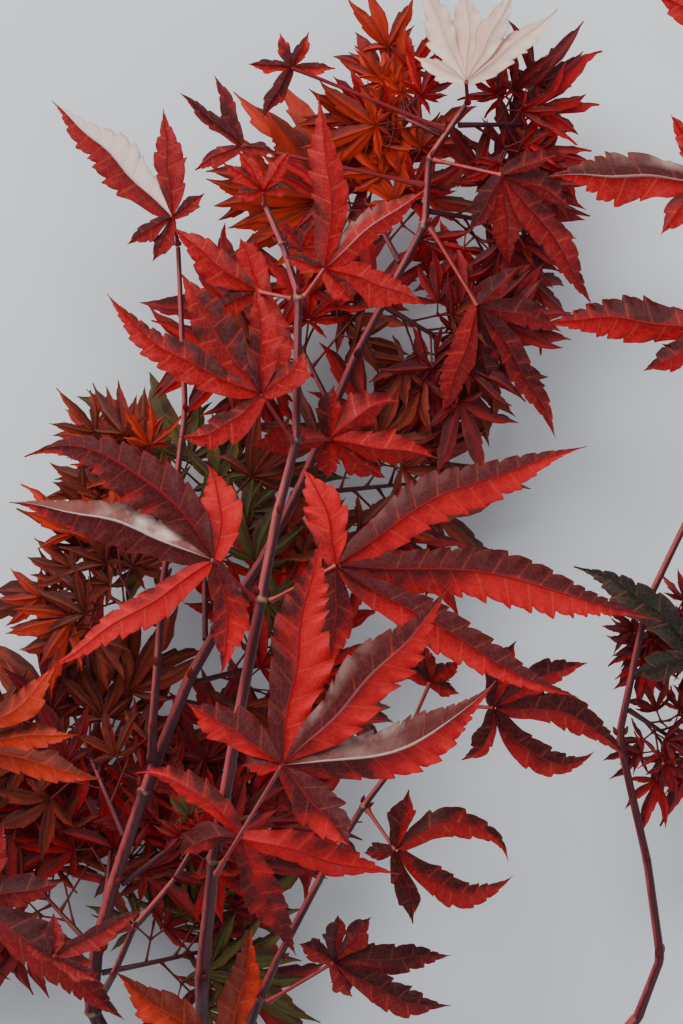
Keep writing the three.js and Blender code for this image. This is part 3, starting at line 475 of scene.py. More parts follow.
class BarkShape(bpy.types.PropertyGroup):
    """Relief and colours of the limb and shoots."""

    relief: bpy.props.FloatProperty(
        name="Relief", description="Height of the bark's ridges, of the radius",
        default=0.07, min=0, max=0.5, subtype="FACTOR")
    limb_colour: colour("Limb bark", "Grey bark of the cut limb", (0.11, 0.075, 0.07))
    shoot_colour: colour("Young bark, shaded", "Shoots on their shaded side", (0.060, 0.005, 0.012))
    # Painted light on the side of the shoots that faces the light, partly their real reddening
    sunlit_colour: colour("Young bark, sunny", "Shoots on their sunny side", (0.52, 0.080, 0.085))
    joint_colour: colour("Joint", "Ring scars and pores of the shoots", (0.36, 0.20, 0.11))


class StudioSettings(bpy.types.PropertyGroup):
    """Camera distance and light strengths."""

    distance: bpy.props.FloatProperty(
        name="Camera distance", description="From the main shoot to the camera",
        default=2.0, min=0.3, unit="LENGTH")
    key_power: bpy.props.FloatProperty(
        name="Key light", description="Soft light from beyond the tips", default=27, unit="POWER")
    fill_power: bpy.props.FloatProperty(
        name="Fill light", description="Soft light from the sawn end", default=6, unit="POWER")
    top_power: bpy.props.FloatProperty(
        name="Top light", description="Soft light from above", default=5, unit="POWER")


def unit(vectors):
    """Each vector divided by its length."""
    return vectors / np.linalg.norm(vectors, axis=-1, keepdims=True)


def smooth_step(low, high, value):
    """0 below low, 1 above high, and 3 w^2 - 2 w^3 between them, where w is the share of the way."""
    share = np.clip((value - low) / (high - low), 0, 1)
    return share * share * (3 - 2 * share)


def dealer(seed):
    """A function that deals numbers out of a range, always the same ones for the same seed.

    Each number is the last one times 1664525 plus 1013904223, kept to 32 bits.
    """
    state = [seed * 2654435761 % 2**32]

    def between(limits):
        state[0] = (state[0] * 1664525 + 1013904223) % 2**32
        return limits[0] + (limits[1] - limits[0]) * state[0] / 2**32

    return between


def along_path(path, places):
    """Points of a smooth curve through the joints of a path, at places counted in joints.

    Between two joints it is the cubic 2 s^3 - 3 s^2 of their difference whose slope at each joint is
    half the step from the joint before to the next.
    """
    ends = np.vstack([2 * path[0] - path[1], path, 2 * path[-1] - path[-2]])
    k = np.clip(np.floor(places).astype(int), 0, len(path) - 2)
    s = (places - k)[:, None]
    low, high = ends[k + 1], ends[k + 2]
    leaving, coming = (high - ends[k]) / 2, (ends[k + 3] - low) / 2
    return (low * (2 * s**3 - 3 * s**2 + 1) + leaving * (s**3 - 2 * s**2 + s)
            + high * (3 * s**2 - 2 * s**3) + coming * (s**3 - s**2))


def direction_at(path, place):
    """The curve's direction at one place, over a short step either way."""
    step = 0.02
    places = np.clip([place - step, place + step], 0, len(path) - 1)
    low, high = along_path(path, places)
    return unit(high - low)


def middle_of(path, places):
    """The middle of a shoot: straight between the collars of two joints, and the curve inside them."""
    joint = np.clip(np.floor(places), 0, len(path) - 2)
    way = (places - joint - COLLAR_REACH) / (1 - 2 * COLLAR_REACH)
    straight = (along_path(path, joint + COLLAR_REACH) * (1 - way[:, None])
                + along_path(path, joint + 1 - COLLAR_REACH) * way[:, None])
    inside = ((way > 0) & (way < 1))[:, None]
    return np.where(inside, straight, along_path(path, places))


def radius_at(shoot, places):
    """Half thickness of a shoot, even from its foot to its tip."""
    foot, tip = shoot["radius"]
    return foot + (tip - foot) * places / (len(shoot["joints"]) - 1)


def foot_on(carrier, target, child_radius):
    """Where a child starts on its carrier: on the side that faces its target, just clear of it."""
    name, place = carrier
    parent = SHOOTS[name]
    path = parent["joints"]
    centre = middle_of(path, np.array([float(place)]))[0]
    ahead = direction_at(path, place)
    towards = np.asarray(target, float) - centre
    slant = abs(unit(towards) @ ahead)
    if place == len(path) - 1:
        return centre + ahead * (CLEARANCE + child_radius * math.sqrt(1 - slant**2))
    from_joint = abs(place - round(place)) / COLLAR_REACH
    swelling = 1 + (COLLAR - 1) * max(0, 1 - from_joint)
    out = unit(towards - ahead * (towards @ ahead))
    return centre + out * (radius_at(parent, place) * swelling + CLEARANCE + child_radius * slant)


def settle_shoots():
    """Gives each shoot its joints as an array, with its foot on its parent in front of them."""
    for shoot in SHOOTS.values():
        joints = np.array(shoot["path"], float)
        if "on" in shoot:
            foot = foot_on(shoot["on"], joints[0], shoot["radius"][0])
            joints = np.vstack([foot, joints])
        shoot["joints"] = joints


def carrying_joints(name):
    """The joints of a shoot that carry a leaf or another shoot."""
    carriers = [shoot["on"] for shoot in SHOOTS.values() if "on" in shoot]
    carriers += [leaf.on for leaf in LARGE_LEAVES.values()]
    return [round(place) for parent, place in carriers if parent == name]


class Shells:
    """Closed shells gathered for one piece: points, faces, masks for the materials and slots."""

    def __init__(self):
        self.points = []
        self.faces = []
        self.masks = []
        self.slots = []
        self.count = 0

    def add(self, rings, masks, slot=0):
        """Adds a shell of rings that closes in a point at each end.

        rings is rows by ring places by 3, and masks holds rows by ring places of each named mask. The
        shell is turned to face outwards by the sign of its volume, the sum of corner times the cross
        product of the other two over its triangles.
        """
        rows, places, _ = rings.shape
        poles = np.array([rings[0].mean(axis=0), rings[-1].mean(axis=0)])
        points = np.vstack([rings.reshape(-1, 3), poles])
        here = np.arange(rows * places).reshape(rows, places)
        after = np.roll(here, -1, axis=1)
        quads = np.stack([here[:-1], after[:-1], after[1:], here[1:]], axis=-1).reshape(-1, 4)
        first, last = rows * places, rows * places + 1
        caps = np.vstack([
            np.stack([after[0], here[0], np.full(places, first)], axis=-1),
            np.stack([here[-1], after[-1], np.full(places, last)], axis=-1),
        ])
        corners = np.vstack([quads[:, :3], quads[:, [0, 2, 3]], caps])
        a, b, c = (points[corners[:, k]] - points[0] for k in range(3))
        if np.einsum("ij,ij->", a, np.cross(b, c)) < 0:
            quads = quads[:, ::-1]
            caps = caps[:, ::-1]
        self.points.append(points)
        self.faces.append((quads + self.count, caps + self.count))
        self.masks.append({
            name: np.append(value.ravel(), [value[0].mean(), value[-1].mean()])
            for name, value in masks.items()
        })
        self.slots.append(slot)
        self.count += len(points)

    def add_tube(self, rings, slot):
        """Adds a tube with the masks that every tube has."""
        self.add(rings, tube_masks(rings), slot)

    def piece(self, name, materials, sharp):
        """The object of the gathered shells in the named materials, with each mask as a point attribute.

        A height h over the ground becomes g ln(1 + e^(h / g)) with the softness g, so that leaves which
        would reach under the ground bend along it.
        """
        mesh = bpy.data.meshes.new(name)
        points = np.vstack(self.points) + SHIFT
        points[:, 2] = GROUND_SOFTNESS * np.logaddexp(0, points[:, 2] / GROUND_SOFTNESS)
        points *= MM
        loops = [part.ravel() for quads, caps in self.faces for part in (quads, caps)]
        sizes = [np.full(len(part), part.shape[1]) for faces in self.faces for part in faces]
        slots = [np.full(len(quads) + len(caps), slot)
                 for (quads, caps), slot in zip(self.faces, self.slots)]
        sizes = np.concatenate(sizes)
        mesh.vertices.add(len(points))
        mesh.vertices.foreach_set("co", points.astype(np.float32).ravel())
        mesh.loops.add(int(sizes.sum()))
        mesh.loops.foreach_set("vertex_index", np.concatenate(loops).astype(np.int32))
        mesh.polygons.add(len(sizes))
        starts = np.concatenate([[0], np.cumsum(sizes)[:-1]]).astype(np.int32)
        mesh.polygons.foreach_set("loop_start", starts)
        mesh.polygons.foreach_set("material_index", np.concatenate(slots).astype(np.int32))
        mesh.polygons.foreach_set("use_smooth", np.ones(len(sizes), bool))
        for mask in sorted({key for masks in self.masks for key in masks}):
            layer = mesh.attributes.new(mask, "FLOAT", "POINT")
            values = [masks.get(mask, np.zeros(len(points_of)))
                      for masks, points_of in zip(self.masks, self.points)]
            layer.data.foreach_set("value", np.concatenate(values).astype(np.float32))
        mesh.update(calc_edges=True)
        if mesh.validate():
            raise RuntimeError(f"{name}: its mesh had faults")
        mesh.set_sharp_from_angle(angle=sharp)
        for material in materials:
            mesh.materials.append(bpy.data.materials[material])
        piece = bpy.data.objects.new(name, mesh)
        bpy.context.scene.collection.objects.link(piece)
        return piece


def tube_rings(centres, radii, sides):
    """Rings round the middle of a tube: middle + radius (across cos a + over sin a).

    ahead is the step to the next middle less the one before, across is ahead crossed with the upright
    that the tube leans away from most, and over is ahead crossed with across. radii is one number for
    each ring, or one for each ring and side.
    """
    ahead = unit(np.gradient(centres, axis=0))
    upright = np.zeros(3)
    upright[np.argmin(np.abs(ahead).max(axis=0))] = 1
    across = unit(np.cross(ahead, upright))
    over = np.cross(ahead, across)
    turn = 2 * math.pi * np.arange(sides) / sides
    radii = np.broadcast_to(np.reshape(radii, (len(centres), -1)), (len(centres), sides))
    out = across[:, None] * np.cos(turn)[None, :, None] + over[:, None] * np.sin(turn)[None, :, None]
    return centres[:, None] + radii[..., None] * out


def stalk_rings(start, end, radius, sides, steps, thin=0.72, clasp=0.75, neck=0.35):
    """A leaf stalk: a bow between its two ends, thick where it clasps the shoot and at the blade."""
    t = np.linspace(0, 1, steps)[:, None]
    bow = STALK_BOW * np.linalg.norm(end - start)
    bend = (start + end) / 2 + np.array([0, 0, bow])
    centres = start * (1 - t)**2 + bend * 2 * t * (1 - t) + end * t**2
    t = t[:, 0]
    swelling = clasp * np.exp(-t * 14) + neck * np.exp(-(1 - t) * 16)
    return tube_rings(centres, radius * (thin + swelling), sides)


def tube_masks(rings):
    """How far along each ring is, and how much each point faces the side that is painted lighter, as lit."""
    out = unit(rings - rings.mean(axis=1, keepdims=True))
    along = np.linspace(0, 1, len(rings))[:, None] * np.ones((1, rings.shape[1]))
    return {"along": along, "sunny": out @ SUNLIT_SIDE}


def lobe_profile(s, widest=0.37, foot=0.36, widening=1.3, narrowing=1.45):
    """Half width of a lobe along it: foot + (1 - foot) sin^p up to its widest, then cos^q."""
    quarter = math.pi / 2
    rise = foot + (1 - foot) * np.sin(quarter * np.clip(s / widest, 0, 1))**widening
    fall = np.cos(quarter * np.clip((s - widest) / (1 - widest), 0, 1))**narrowing
    return np.where(s < widest, rise, fall)


def lobe_frame(s, lobe):
    """Middle, forward, side and upward directions of a lobe at the shares s of its length.

    It has turned sideways by bend s^p and fallen by droop s^p there, so forward is cos droop (ahead cos
    bend + left sin bend) - up sin droop, and the middle is the sum of the forward steps. A wiggle that
    dies out at both ends, 4 s (1 - s) sin(its waves), is added to the bend.
    """
    growth = s**BEND_GROWTH
    wiggle = 4 * s * (1 - s) * np.sin(2 * math.pi * (lobe["waves"] * s + lobe["phase"]))
    turn = np.radians(lobe["bend"] * growth + LOBE_WIGGLE * wiggle)
    fall = np.radians(lobe["droop"]) * growth
    left = np.cross(lobe["up"], lobe["ahead"])
    level = np.outer(np.cos(turn), lobe["ahead"]) + np.outer(np.sin(turn), left)
    forward = level * np.cos(fall)[:, None] - np.outer(np.sin(fall), lobe["up"])
    side = np.outer(np.cos(turn), left) - np.outer(np.sin(turn), lobe["ahead"])
    steps = np.diff(s, prepend=0)[:, None] * lobe["length"]
    before = np.vstack([lobe["ahead"][None], forward[:-1]])
    middle = lobe["at"] + np.cumsum(steps * (forward + before) / 2, axis=0)
    return middle, forward, side, np.cross(forward, side)


def lobe_rows(teeth, places, rng):
    """Shares of a lobe's length with a row of points: three at its foot, then each tooth's.

    The teeth get shorter to the tip, and each is dealt a little longer or shorter than that.
    """
    steps = rng.uniform(*TOOTH_LENGTHS, teeth) * np.linspace(*TOOTH_TAPER, teeth)
    ends = np.append(0, np.cumsum(steps)) / steps.sum()
    phase = (np.arange(teeth)[:, None] + np.array(places)[None, :]).ravel()
    share = FIRST_TOOTH + (1 - FIRST_TOOTH) * np.interp(phase, np.arange(teeth + 1), ends)
    return np.append(FOOT_ROWS, share), np.append(np.zeros(len(FOOT_ROWS)), phase)


def toothed_edge(s, phase, gap, lobe, leaf, rng):
    """Half width of one side of a lobe: its profile, times 1, a slow wave and the teeth.

    A tooth swells to its tip and drops at once, and each is a little larger or smaller than the next.
    The side keeps to its sector: the way along the lobe times the tangent of half the gap to the next.
    """
    depths = rng.uniform(*TOOTH_DEPTHS, int(phase.max()) + 2)[phase.astype(int)]
    tooth = np.interp(phase % 1, TOOTH_PLACES, TOOTH_HEIGHTS) - TOOTH_MEAN
    depth = leaf.tooth_depth * depths * smooth_step(0.1, 0.3, s) * (0.8 + 0.8 * s)
    wave = np.sin(2 * math.pi * (rng.uniform(*LOBE_WAVES) * s + rng.uniform()))
    wave *= EDGE_WAVE * smooth_step(0, 0.3, s)
    half = lobe["width"] / 2 * lobe_profile(s) * (1 + depth * tooth + wave)
    sector = math.tan(math.radians(min(gap, WIDEST_SECTOR) / 2))
    room = np.maximum(np.cos(row_lean(s)) - np.sin(row_lean(s)) * sector, LEAST_ROOM)
    return np.minimum(half, SECTOR_OVERLAP * lobe["length"] * s * sector / room)


def row_lean(s):
    """How far the rows of a lobe lean forward, as its side veins do."""
    return VEIN_LEAN * smooth_step(0, 0.25, s) * (1 - 0.35 * s)


def lobe_sheet(s, t, place, wide, lobe, leaf):
    """The middle sheet of a lobe and the direction that its upper side faces, row by row.

    A point at share t of the half width W is middle + t W (side cos r + forward |t| sin r), raised by
    the midrib and by a ripple for each tooth, and lowered by |t| W sin fold. The lobe rolls to its tip.
    """
    middle, forward, side, up = lobe_frame(s, lobe)
    out = np.abs(t)[None, :]
    roll = np.radians(lobe["roll"]) * s**2
    rolled = side * np.cos(roll)[:, None] + up * np.sin(roll)[:, None]
    raised = up * np.cos(roll)[:, None] - side * np.sin(roll)[:, None]
    lean = row_lean(s)[:, None]
    fold = leaf.fold * (1 - FOLD_LOSS * s[:, None])
    onward = out * wide * np.sin(lean)
    across = t[None, :] * wide * np.cos(lean) * np.cos(fold)
    toothed = (s > FOOT_ROWS[-1])[:, None]
    rib = np.interp(out, (0, RIB_WIDTH), (1, 0)) * leaf.rib / MM * (1 - RIB_LOSS * s[:, None])
    ripple = np.sin(2 * math.pi * (place - 0.15)) * out**2 * toothed
    wave = np.sin(2 * math.pi * (lobe["waves"] * s[:, None] - lobe["phase"])) * out * s[:, None]
    puff = np.sin(math.pi * out) * np.abs(np.sin(math.pi * place)) * toothed
    ruffle = leaf.ruffle * (ripple + WAVE_SHARE * wave)
    height = rib + wide * (ruffle - PUFF * puff - out * np.sin(fold))
    sheet = (middle[:, None] + rolled[:, None] * across[..., None]
             + forward[:, None] * onward[..., None] + raised[:, None] * height[..., None])
    return sheet, side, raised


def both_sides(rows):
    """Values of a lobe's upper sheet, and then those of its lower sheet on the way back."""
    return np.concatenate([rows, rows[:, -2:0:-1]], axis=1)


def lobe_masks(s, t, place, side, lobe, fine):
    """What colours a lobe: its halves painted light and shade by how they face the light, with painted
    brighter and deeper facets between the veins, veins, midrib and margin.
    """
    out = np.abs(t)[None, :]
    toothed = (s > FOOT_ROWS[-1])[:, None]
    # Painted light and shade: the half on the light's side is painted deep, the other bright as if light
    # shone through it.
    facing_light = np.clip(unit(side[:, :2]) @ LIGHT_WAY * 2, -1, 1)
    # Painted light and shade on the facets between the side veins.
    facet_shade = FACET_SHADE * np.sin(2 * math.pi * (place - 0.1)) * out * toothed
    vein = np.isclose(place, VEIN_PLACE) * (out > RIB_REACH / 2) * toothed
    masks = {
        "half": facing_light[:, None] * (np.clip(t / 0.1, -1, 1) * (0.5 + 0.5 * out)) + facet_shade,
        "vein": vein * (1 - 0.4 * out) * fine,
        "rib": np.interp(out, (0, RIB_REACH), (1, 0)),
        "along": s[:, None],
        "out": out,
        "margin": np.interp(out, (MARGIN_START, 1), (0, 1)),
        "tone": lobe["tone"],
        # pale: how strongly the upper half is painted with sheen and glare, and made glossier
        "pale": lobe["pale"],
        "lot": lobe["lot"],
    }
    return {name: both_sides(value * np.ones_like(place)) for name, value in masks.items()}


def add_lobe(shells, lobe, leaf, fine, slot):
    """Adds one lobe: a thin closed shell of two sheets that meet at its toothed margin."""
    rng = np.random.default_rng(lobe["seed"])
    teeth = round(lobe["length"] / (leaf.tooth_step / MM) * (1 if fine else COARSE_TEETH))
    s, phase = lobe_rows(max(LEAST_TEETH, teeth), FINE_PLACES if fine else COARSE_PLACES, rng)
    columns = np.array(FINE_COLUMNS if fine else COARSE_COLUMNS)
    t = np.concatenate([-columns[:0:-1], columns])
    place = (phase[:, None] + TOOTH_SHIFT * (t < 0)[None, :]) % 1
    left = toothed_edge(s, phase, lobe["gaps"][0], lobe, leaf, rng)
    right = toothed_edge(s, phase + TOOTH_SHIFT, lobe["gaps"][1], lobe, leaf, rng)
    wide = np.where(t[None, :] > 0, left[:, None], right[:, None])
    sheet, side, raised = lobe_sheet(s, t, place, wide, lobe, leaf)
    thick = leaf.thickness / MM / 2 * np.interp(np.abs(t), *SHEET_THICKNESS)
    thick = (thick * np.ones_like(wide))[..., None] * raised[:, None]
    rings = np.concatenate([sheet + thick, (sheet - thick)[:, -2:0:-1]], axis=1)
    shells.add(rings, lobe_masks(s, t, place, side, lobe, fine), slot)


def pointing(way, climb):
    """The direction that points a given way round and climbs by a given angle."""
    return np.array([math.cos(way) * math.cos(climb), math.sin(way) * math.cos(climb), math.sin(climb)])


def slope_on(facing, heading):
    """The direction on a blade that shows a heading from above. It isn't of unit length."""
    east, north = math.cos(math.radians(heading)), math.sin(math.radians(heading))
    return np.array([east, north, -(facing[0] * east + facing[1] * north) / facing[2]])


def add_blade(shells, at, blade, leaf, fine, deal, slot):
    """Adds the blade of one leaf: its lobes round one point, every second one lifted a little."""
    way, tilt = (math.radians(angle) for angle in blade.lean)
    facing = pointing(way, math.pi / 2 - tilt)
    lot = deal((0, 1))
    fan = sorted(((heading % 360, *rest) for heading, *rest in blade.lobes), key=lambda lobe: lobe[0])
    for i, (heading, length, width, bend, *looks) in enumerate(fan):
        slope = slope_on(facing, heading)
        level = unit(slope)
        lift = math.radians(LOBE_LIFT if i % 2 else -LOBE_LIFT)
        after = (fan[(i + 1) % len(fan)][0] - heading) % 360 or 360
        before = (heading - fan[i - 1][0]) % 360 or 360
        tone, pale = (*looks, 0, 0)[:2]
        add_lobe(shells, {
            "at": at,
            "ahead": level * math.cos(lift) + facing * math.sin(lift),
            "up": facing * math.cos(lift) - level * math.sin(lift),
            "length": length * np.linalg.norm(slope),
            "width": width,
            "bend": bend,
            "droop": blade.droop,
            "gaps": (after, before),
            "roll": deal(LOBE_ROLL),
            "waves": deal(LOBE_WAVES),
            "phase": deal((0, 1)),
            "seed": int(deal(LOBE_SEEDS)),
            "tone": tone + deal(TONE_SWAY),
            "pale": pale,
            "lot": lot,
        }, leaf, fine, slot)


def dealt_lobes(heading, scale, between):
    """Heading, length, width and bend of the five lobes of a spray's leaf."""
    return [(heading + turn + between(DEALS["sway"]), scale * share * between(DEALS["length"]),
             scale * share * between(DEALS["width"]), between(DEALS["bend"]))
            for turn, share in SPRAY_LOBES]


class SprayGrowth:
    """A spray while it grows: a bowed twig, its pairs of leaves, and finer twigs between them.

    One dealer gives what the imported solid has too, in the same order, and the other gives the rest.
    """

    def __init__(self, name, leaf):
        spray = SPRAYS[name]
        self.name = name
        self.spray = spray
        self.leaf = leaf
        self.shells = Shells()
        self.between = dealer(spray.seed)
        self.extra = dealer(spray.seed + LOOKS_SEED)
        self.leaves = 0
        end = np.array(spray.tip, float)
        foot = foot_on(spray.on, end, TWIG_RADIUS)
        rise = np.array([0, 0, TWIG_BOW * np.linalg.norm(end - foot)])
        self.twig = np.array([foot, (foot + end) / 2 + rise, end])

    def spot(self, place):
        """The twig's point at a place, and its heading there."""
        ahead = direction_at(self.twig, place)
        point = along_path(self.twig, np.array([float(place)]))[0]
        return point, math.degrees(math.atan2(ahead[1], ahead[0]))

    def add_blade(self, at, blade):
        """Adds a leaf's blade. Every third leaf takes the spray's second tint."""
        self.leaves += 1
        second = self.leaves % 3 == 0
        add_blade(self.shells, at, blade, self.leaf, False, self.extra, int(second))

    def add_leaf(self, joint, course, hand):
        """Adds one leaf of a pair on its stalk."""
        spray, between, extra = self.spray, self.between, self.extra
        heading = course + hand * between(DEALS["turn"])
        climb = math.radians(between(DEALS["climb"]))
        reach = spray.size * between(DEALS["stalk"])
        scale = spray.size * between(DEALS["scale"])
        lean = (between((0, 360)), spray.tilt * between(DEALS["tilt"]))
        droop = between(DEALS["droop"])
        at = joint + pointing(math.radians(heading), climb) * reach
        lobes = dealt_lobes(heading, scale, between)
        sway, width, bend = BASAL_LOOKS
        lobes += [(heading + turn + extra(sway), scale * share, scale * share * width, extra(bend))
                  for turn, share in BASAL_LOBES]
        self.shells.add_tube(stalk_rings(joint, at, SPRAY_STALK_RADIUS, *SPRAY_STALK), STALK_SLOT)
        self.add_blade(at, Blade(lean, droop, lobes))

    def add_fine_twig(self, start, course, low, high):
        """Adds a finer twig with three small leaves, if it can be kept to the spray's own space."""
        size, extra = self.spray.size, self.extra
        climb = math.radians(extra(FINE_CLIMB))
        end = start + pointing(math.radians(course), climb) * size * extra(FINE_LENGTH)
        scale = size * extra(FINE_SCALE)
        reach = scale * FINE_REACH
        kept = np.clip(end, low + reach, np.maximum(high - reach, low + reach))
        if np.linalg.norm(kept - end) > size * FINE_SHIFT:
            return
        self.shells.add_tube(stalk_rings(start, kept, SPRAY_STALK_RADIUS, *SPRAY_STALK), STALK_SLOT)
        for place, hand in FINE_LEAVES:
            joint = start + (kept - start) * place
            heading = course + hand * extra(FINE_LEAF_TURN)
            way = np.append(pointing(math.radians(heading), 0)[:2], FINE_LEAF_RISE)
            at = joint + way * scale * extra(FINE_LEAF_STALK)
            lobes = dealt_lobes(heading, scale * (FINE_SIDE_LEAF if hand else 1), extra)
            lean = (extra((0, 360)), self.spray.tilt * extra(DEALS["tilt"]))
            self.shells.add_tube(stalk_rings(joint, at, FINE_STALK_RADIUS, *FINE_STALK), STALK_SLOT)
            self.add_blade(at, Blade(lean, extra(DEALS["droop"]), lobes))

    def grow(self):
        """Grows the whole spray and hands its piece to the frame."""
        pairs = self.spray.pairs
        last = len(self.twig) - 1
        centres = along_path(self.twig, np.linspace(0, last, TWIG_STEPS))
        taper = np.linspace(TWIG_RADIUS, TWIG_RADIUS * TWIG_TAPER, TWIG_STEPS)
        self.shells.add_tube(tube_rings(centres, taper, TWIG_SIDES), TWIG_SLOT)
        for k in range(1, pairs + 1):
            joint, course = self.spot(last * (k + FIRST_PAIR * (pairs - k)) / pairs)
            for hand in (-1, 1):
                self.add_leaf(joint, course, hand)
        low, high = (np.array(corner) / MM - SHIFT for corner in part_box(self.name))
        for k in range(FINE_TWIGS):
            start, course = self.spot(last * (FINE_START + FINE_SPAN * k / FINE_TWIGS))
            course += (1 if k % 2 else -1) * self.extra(FINE_TURN)
            self.add_fine_twig(start, course, low, high)
        materials = [f"Leaf {tint}" for tint in self.spray.tints] + ["Spray stalk", "Young bark"]
        settle(self.shells.piece(f"foliage_{self.name}", materials, LEAF_EDGE), self.name)


def rooted(shoot, centres):
    """A shoot's middle line sunk into its parent, and its thickening there: 1 + f e^(-distance / reach).

    On its parent's side it flares a little. On its parent's tip it flares to the parent's own thickness.
    """
    name, place = shoot["on"]
    parent = SHOOTS[name]
    own = shoot["radius"][0]
    if place == len(parent["joints"]) - 1:
        flare = TIP_FLARE * parent["radius"][1] / own - 1
        reach = TIP_FLARE_REACH * own
        sunk = centres[0] - unit(centres[1] - centres[0]) * FOOT_SINK
    else:
        flare = SIDE_FLARE
        reach = own
        middle = middle_of(parent["joints"], np.array([float(place)]))[0]
        sunk = middle * FOOT_SHARE + centres[0] * (1 - FOOT_SHARE)
    swell = 1 + flare * np.exp(-np.linalg.norm(centres - centres[0], axis=1) / reach)
    return np.concatenate([[sunk], centres]), np.concatenate([[swell[0] * FOOT_NARROW], swell])


def bark_places(path, rows):
    """Places of a shoot's rings: even ones along it, and closer ones over each joint."""
    last = len(path) - 1
    near = np.linspace(-1, 1, 9) * COLLAR_REACH * 1.2
    places = np.concatenate([np.linspace(0, last, last * rows + 1)]
                            + [joint + near for joint in range(1, last)])
    return np.unique(np.clip(places, 0, last).round(6))


def bark_ridges(path, places, sides, seed):
    """Ridges of the bark: a sum of sines round and along the shoot, whose numbers the seed deals."""
    turn = 2 * math.pi * np.arange(sides) / sides
    between = dealer(seed)
    length = np.linalg.norm(np.diff(path, axis=0), axis=1).sum()
    ridges = np.zeros((len(places), sides))
    for waves in RIDGE_WAVES:
        climb = between(RIDGE_CLIMB) * length * between((-1, 1))
        phase = between(ROUND)
        wobble = between(ROUND)
        ridges += np.sin(waves * turn[None, :] + climb * places[:, None] / (len(path) - 1) + phase
                         + np.sin(places[:, None] * 3 + wobble)) / waves**0.5
    return ridges


def bark_rings(name, grid, relief, seed):
    """Rings of a limb or shoot with its bark's relief, and the masks that colour it.

    The radius swells at each joint by a bell curve with a ring scar on its crest.
    """
    shoot = SHOOTS[name]
    path = shoot["joints"]
    last = len(path) - 1
    rows, sides = grid
    places = bark_places(path, rows)
    centres = middle_of(path, places)
    smooth = centres.copy()
    smooth[1:-1] = (centres[:-2] + 2 * centres[1:-1] + centres[2:]) / 4
    joint = np.round(places)
    inner = (joint > 0) & (joint < last)
    share = np.where(np.isin(joint, carrying_joints(name)), 1, BARE_JOINT) * inner * shoot.get("collars", 1)
    from_joint = np.abs(places - joint) / COLLAR_REACH
    collar = np.exp(-(from_joint / COLLAR_WIDTH)**2) * share
    scar = np.exp(-(from_joint / SCAR_WIDTH)**2) * share
    base = radius_at(shoot, places) * (1 + (COLLAR - 1) * collar + SCAR * scar)
    if "on" in shoot:
        places, base, collar = (np.concatenate([row[:1], row]) for row in (places, base, collar))
        smooth, swell = rooted(shoot, smooth)
        base = base * swell
    ridges = bark_ridges(path, places, sides, seed)
    rings = tube_rings(smooth, base[:, None] * (1 + relief * ridges), sides)
    ahead = np.ceil(places)
    carried = np.isin(ahead, carrying_joints(name)) & (ahead < last)
    below = np.exp(-np.clip(ahead - places, 0, 1) / SHADOW_REACH) * carried
    full = np.ones((1, sides))
    return rings, tube_masks(rings) | {
        "joint": collar[:, None] * full,
        "below": below[:, None] * full,
        "ridge": np.clip(0.5 + 0.5 * ridges, 0, 1),
    }


def sawn_plate(rim):
    """The sawn face: rings at shares of the bark's rim, as a thin plate that stands out of its end."""
    middle = rim.mean(axis=0)
    out, thickness = SAWN_PLATE
    face = np.stack([middle + (rim - middle) * share for share in SAWN_SHARES])
    face[:, :, 1] -= out
    return np.concatenate([face, face[::-1] + np.array([0, thickness, 0])])


def bud_rings(foot, ahead, length, radius):
    """A bud: a pointed egg. Its half thickness is the sine of its way to a power, narrowed at its tip."""
    s = np.linspace(0.04, 0.985, 9)
    thick = radius * np.sin(math.pi * s**0.75)**0.75 * (1 - 0.25 * s)
    return tube_rings(foot + ahead * length * s[:, None], thick, BUD_SIDES)


def add_buds(shells, shoot, seed, slot):
    """Adds two opposite buds above each joint, leaning forward from the shoot."""
    path = shoot["joints"]
    between = dealer(seed)
    for joint in range(1, len(path) - 1):
        centre = along_path(path, np.array([float(joint)]))[0]
        ahead = direction_at(path, joint)
        across = unit(np.cross(ahead, (0, 0, 1)))
        over = np.cross(across, ahead)
        turn = between(BUD_TURNS[joint % 2])
        out = across * math.cos(turn) + over * math.sin(turn)
        radius = radius_at(shoot, joint)
        length, thickness = (least + more * radius for least, more in (BUD_LENGTH, BUD_RADIUS))
        for hand in (-1, 1):
            foot = centre + out * hand * radius * BUD_FOOT[0] + ahead * radius * BUD_FOOT[1]
            lean = unit(ahead + out * hand * BUD_LEAN)
            shells.add_tube(bud_rings(foot, lean, length, thickness), slot)


def node_group(name, inputs=()):
    """A new shader group that puts out a colour, roughness and height, and its two end nodes."""
    group = bpy.data.node_groups.new(name, "ShaderNodeTree")
    for label, default in inputs:
        kind = "NodeSocketFloat" if isinstance(default, float) else "NodeSocketColor"
        socket = group.interface.new_socket(label, in_out="INPUT", socket_type=kind)
        socket.default_value = default
    for label, kind in FINISH:
        group.interface.new_socket(label, in_out="OUTPUT", socket_type=kind)
    return group, group.nodes.new("NodeGroupInput"), group.nodes.new("NodeGroupOutput")


def put_out(group, result, *values):
    """Ends a group with its colour, roughness and height."""
    for (label, _), value in zip(FINISH, values):
        connect(group, value, result.inputs[label])


def connect(tree, value, socket):
    """Links a socket, or sets a plain value."""
    if isinstance(value, bpy.types.NodeSocket):
        tree.links.new(value, socket)
    else:
        socket.default_value = value


def mask_of(tree, name):
    """A point attribute of the piece."""
    node = tree.nodes.new("ShaderNodeAttribute")
    node.attribute_name = name
    return node.outputs["Fac"]


def math_node(tree, operation, first, second=0.0):
    """One sum of two numbers."""
    node = tree.nodes.new("ShaderNodeMath")
    node.operation = operation
    connect(tree, first, node.inputs[0])
    connect(tree, second, node.inputs[1])
    return node.outputs[0]


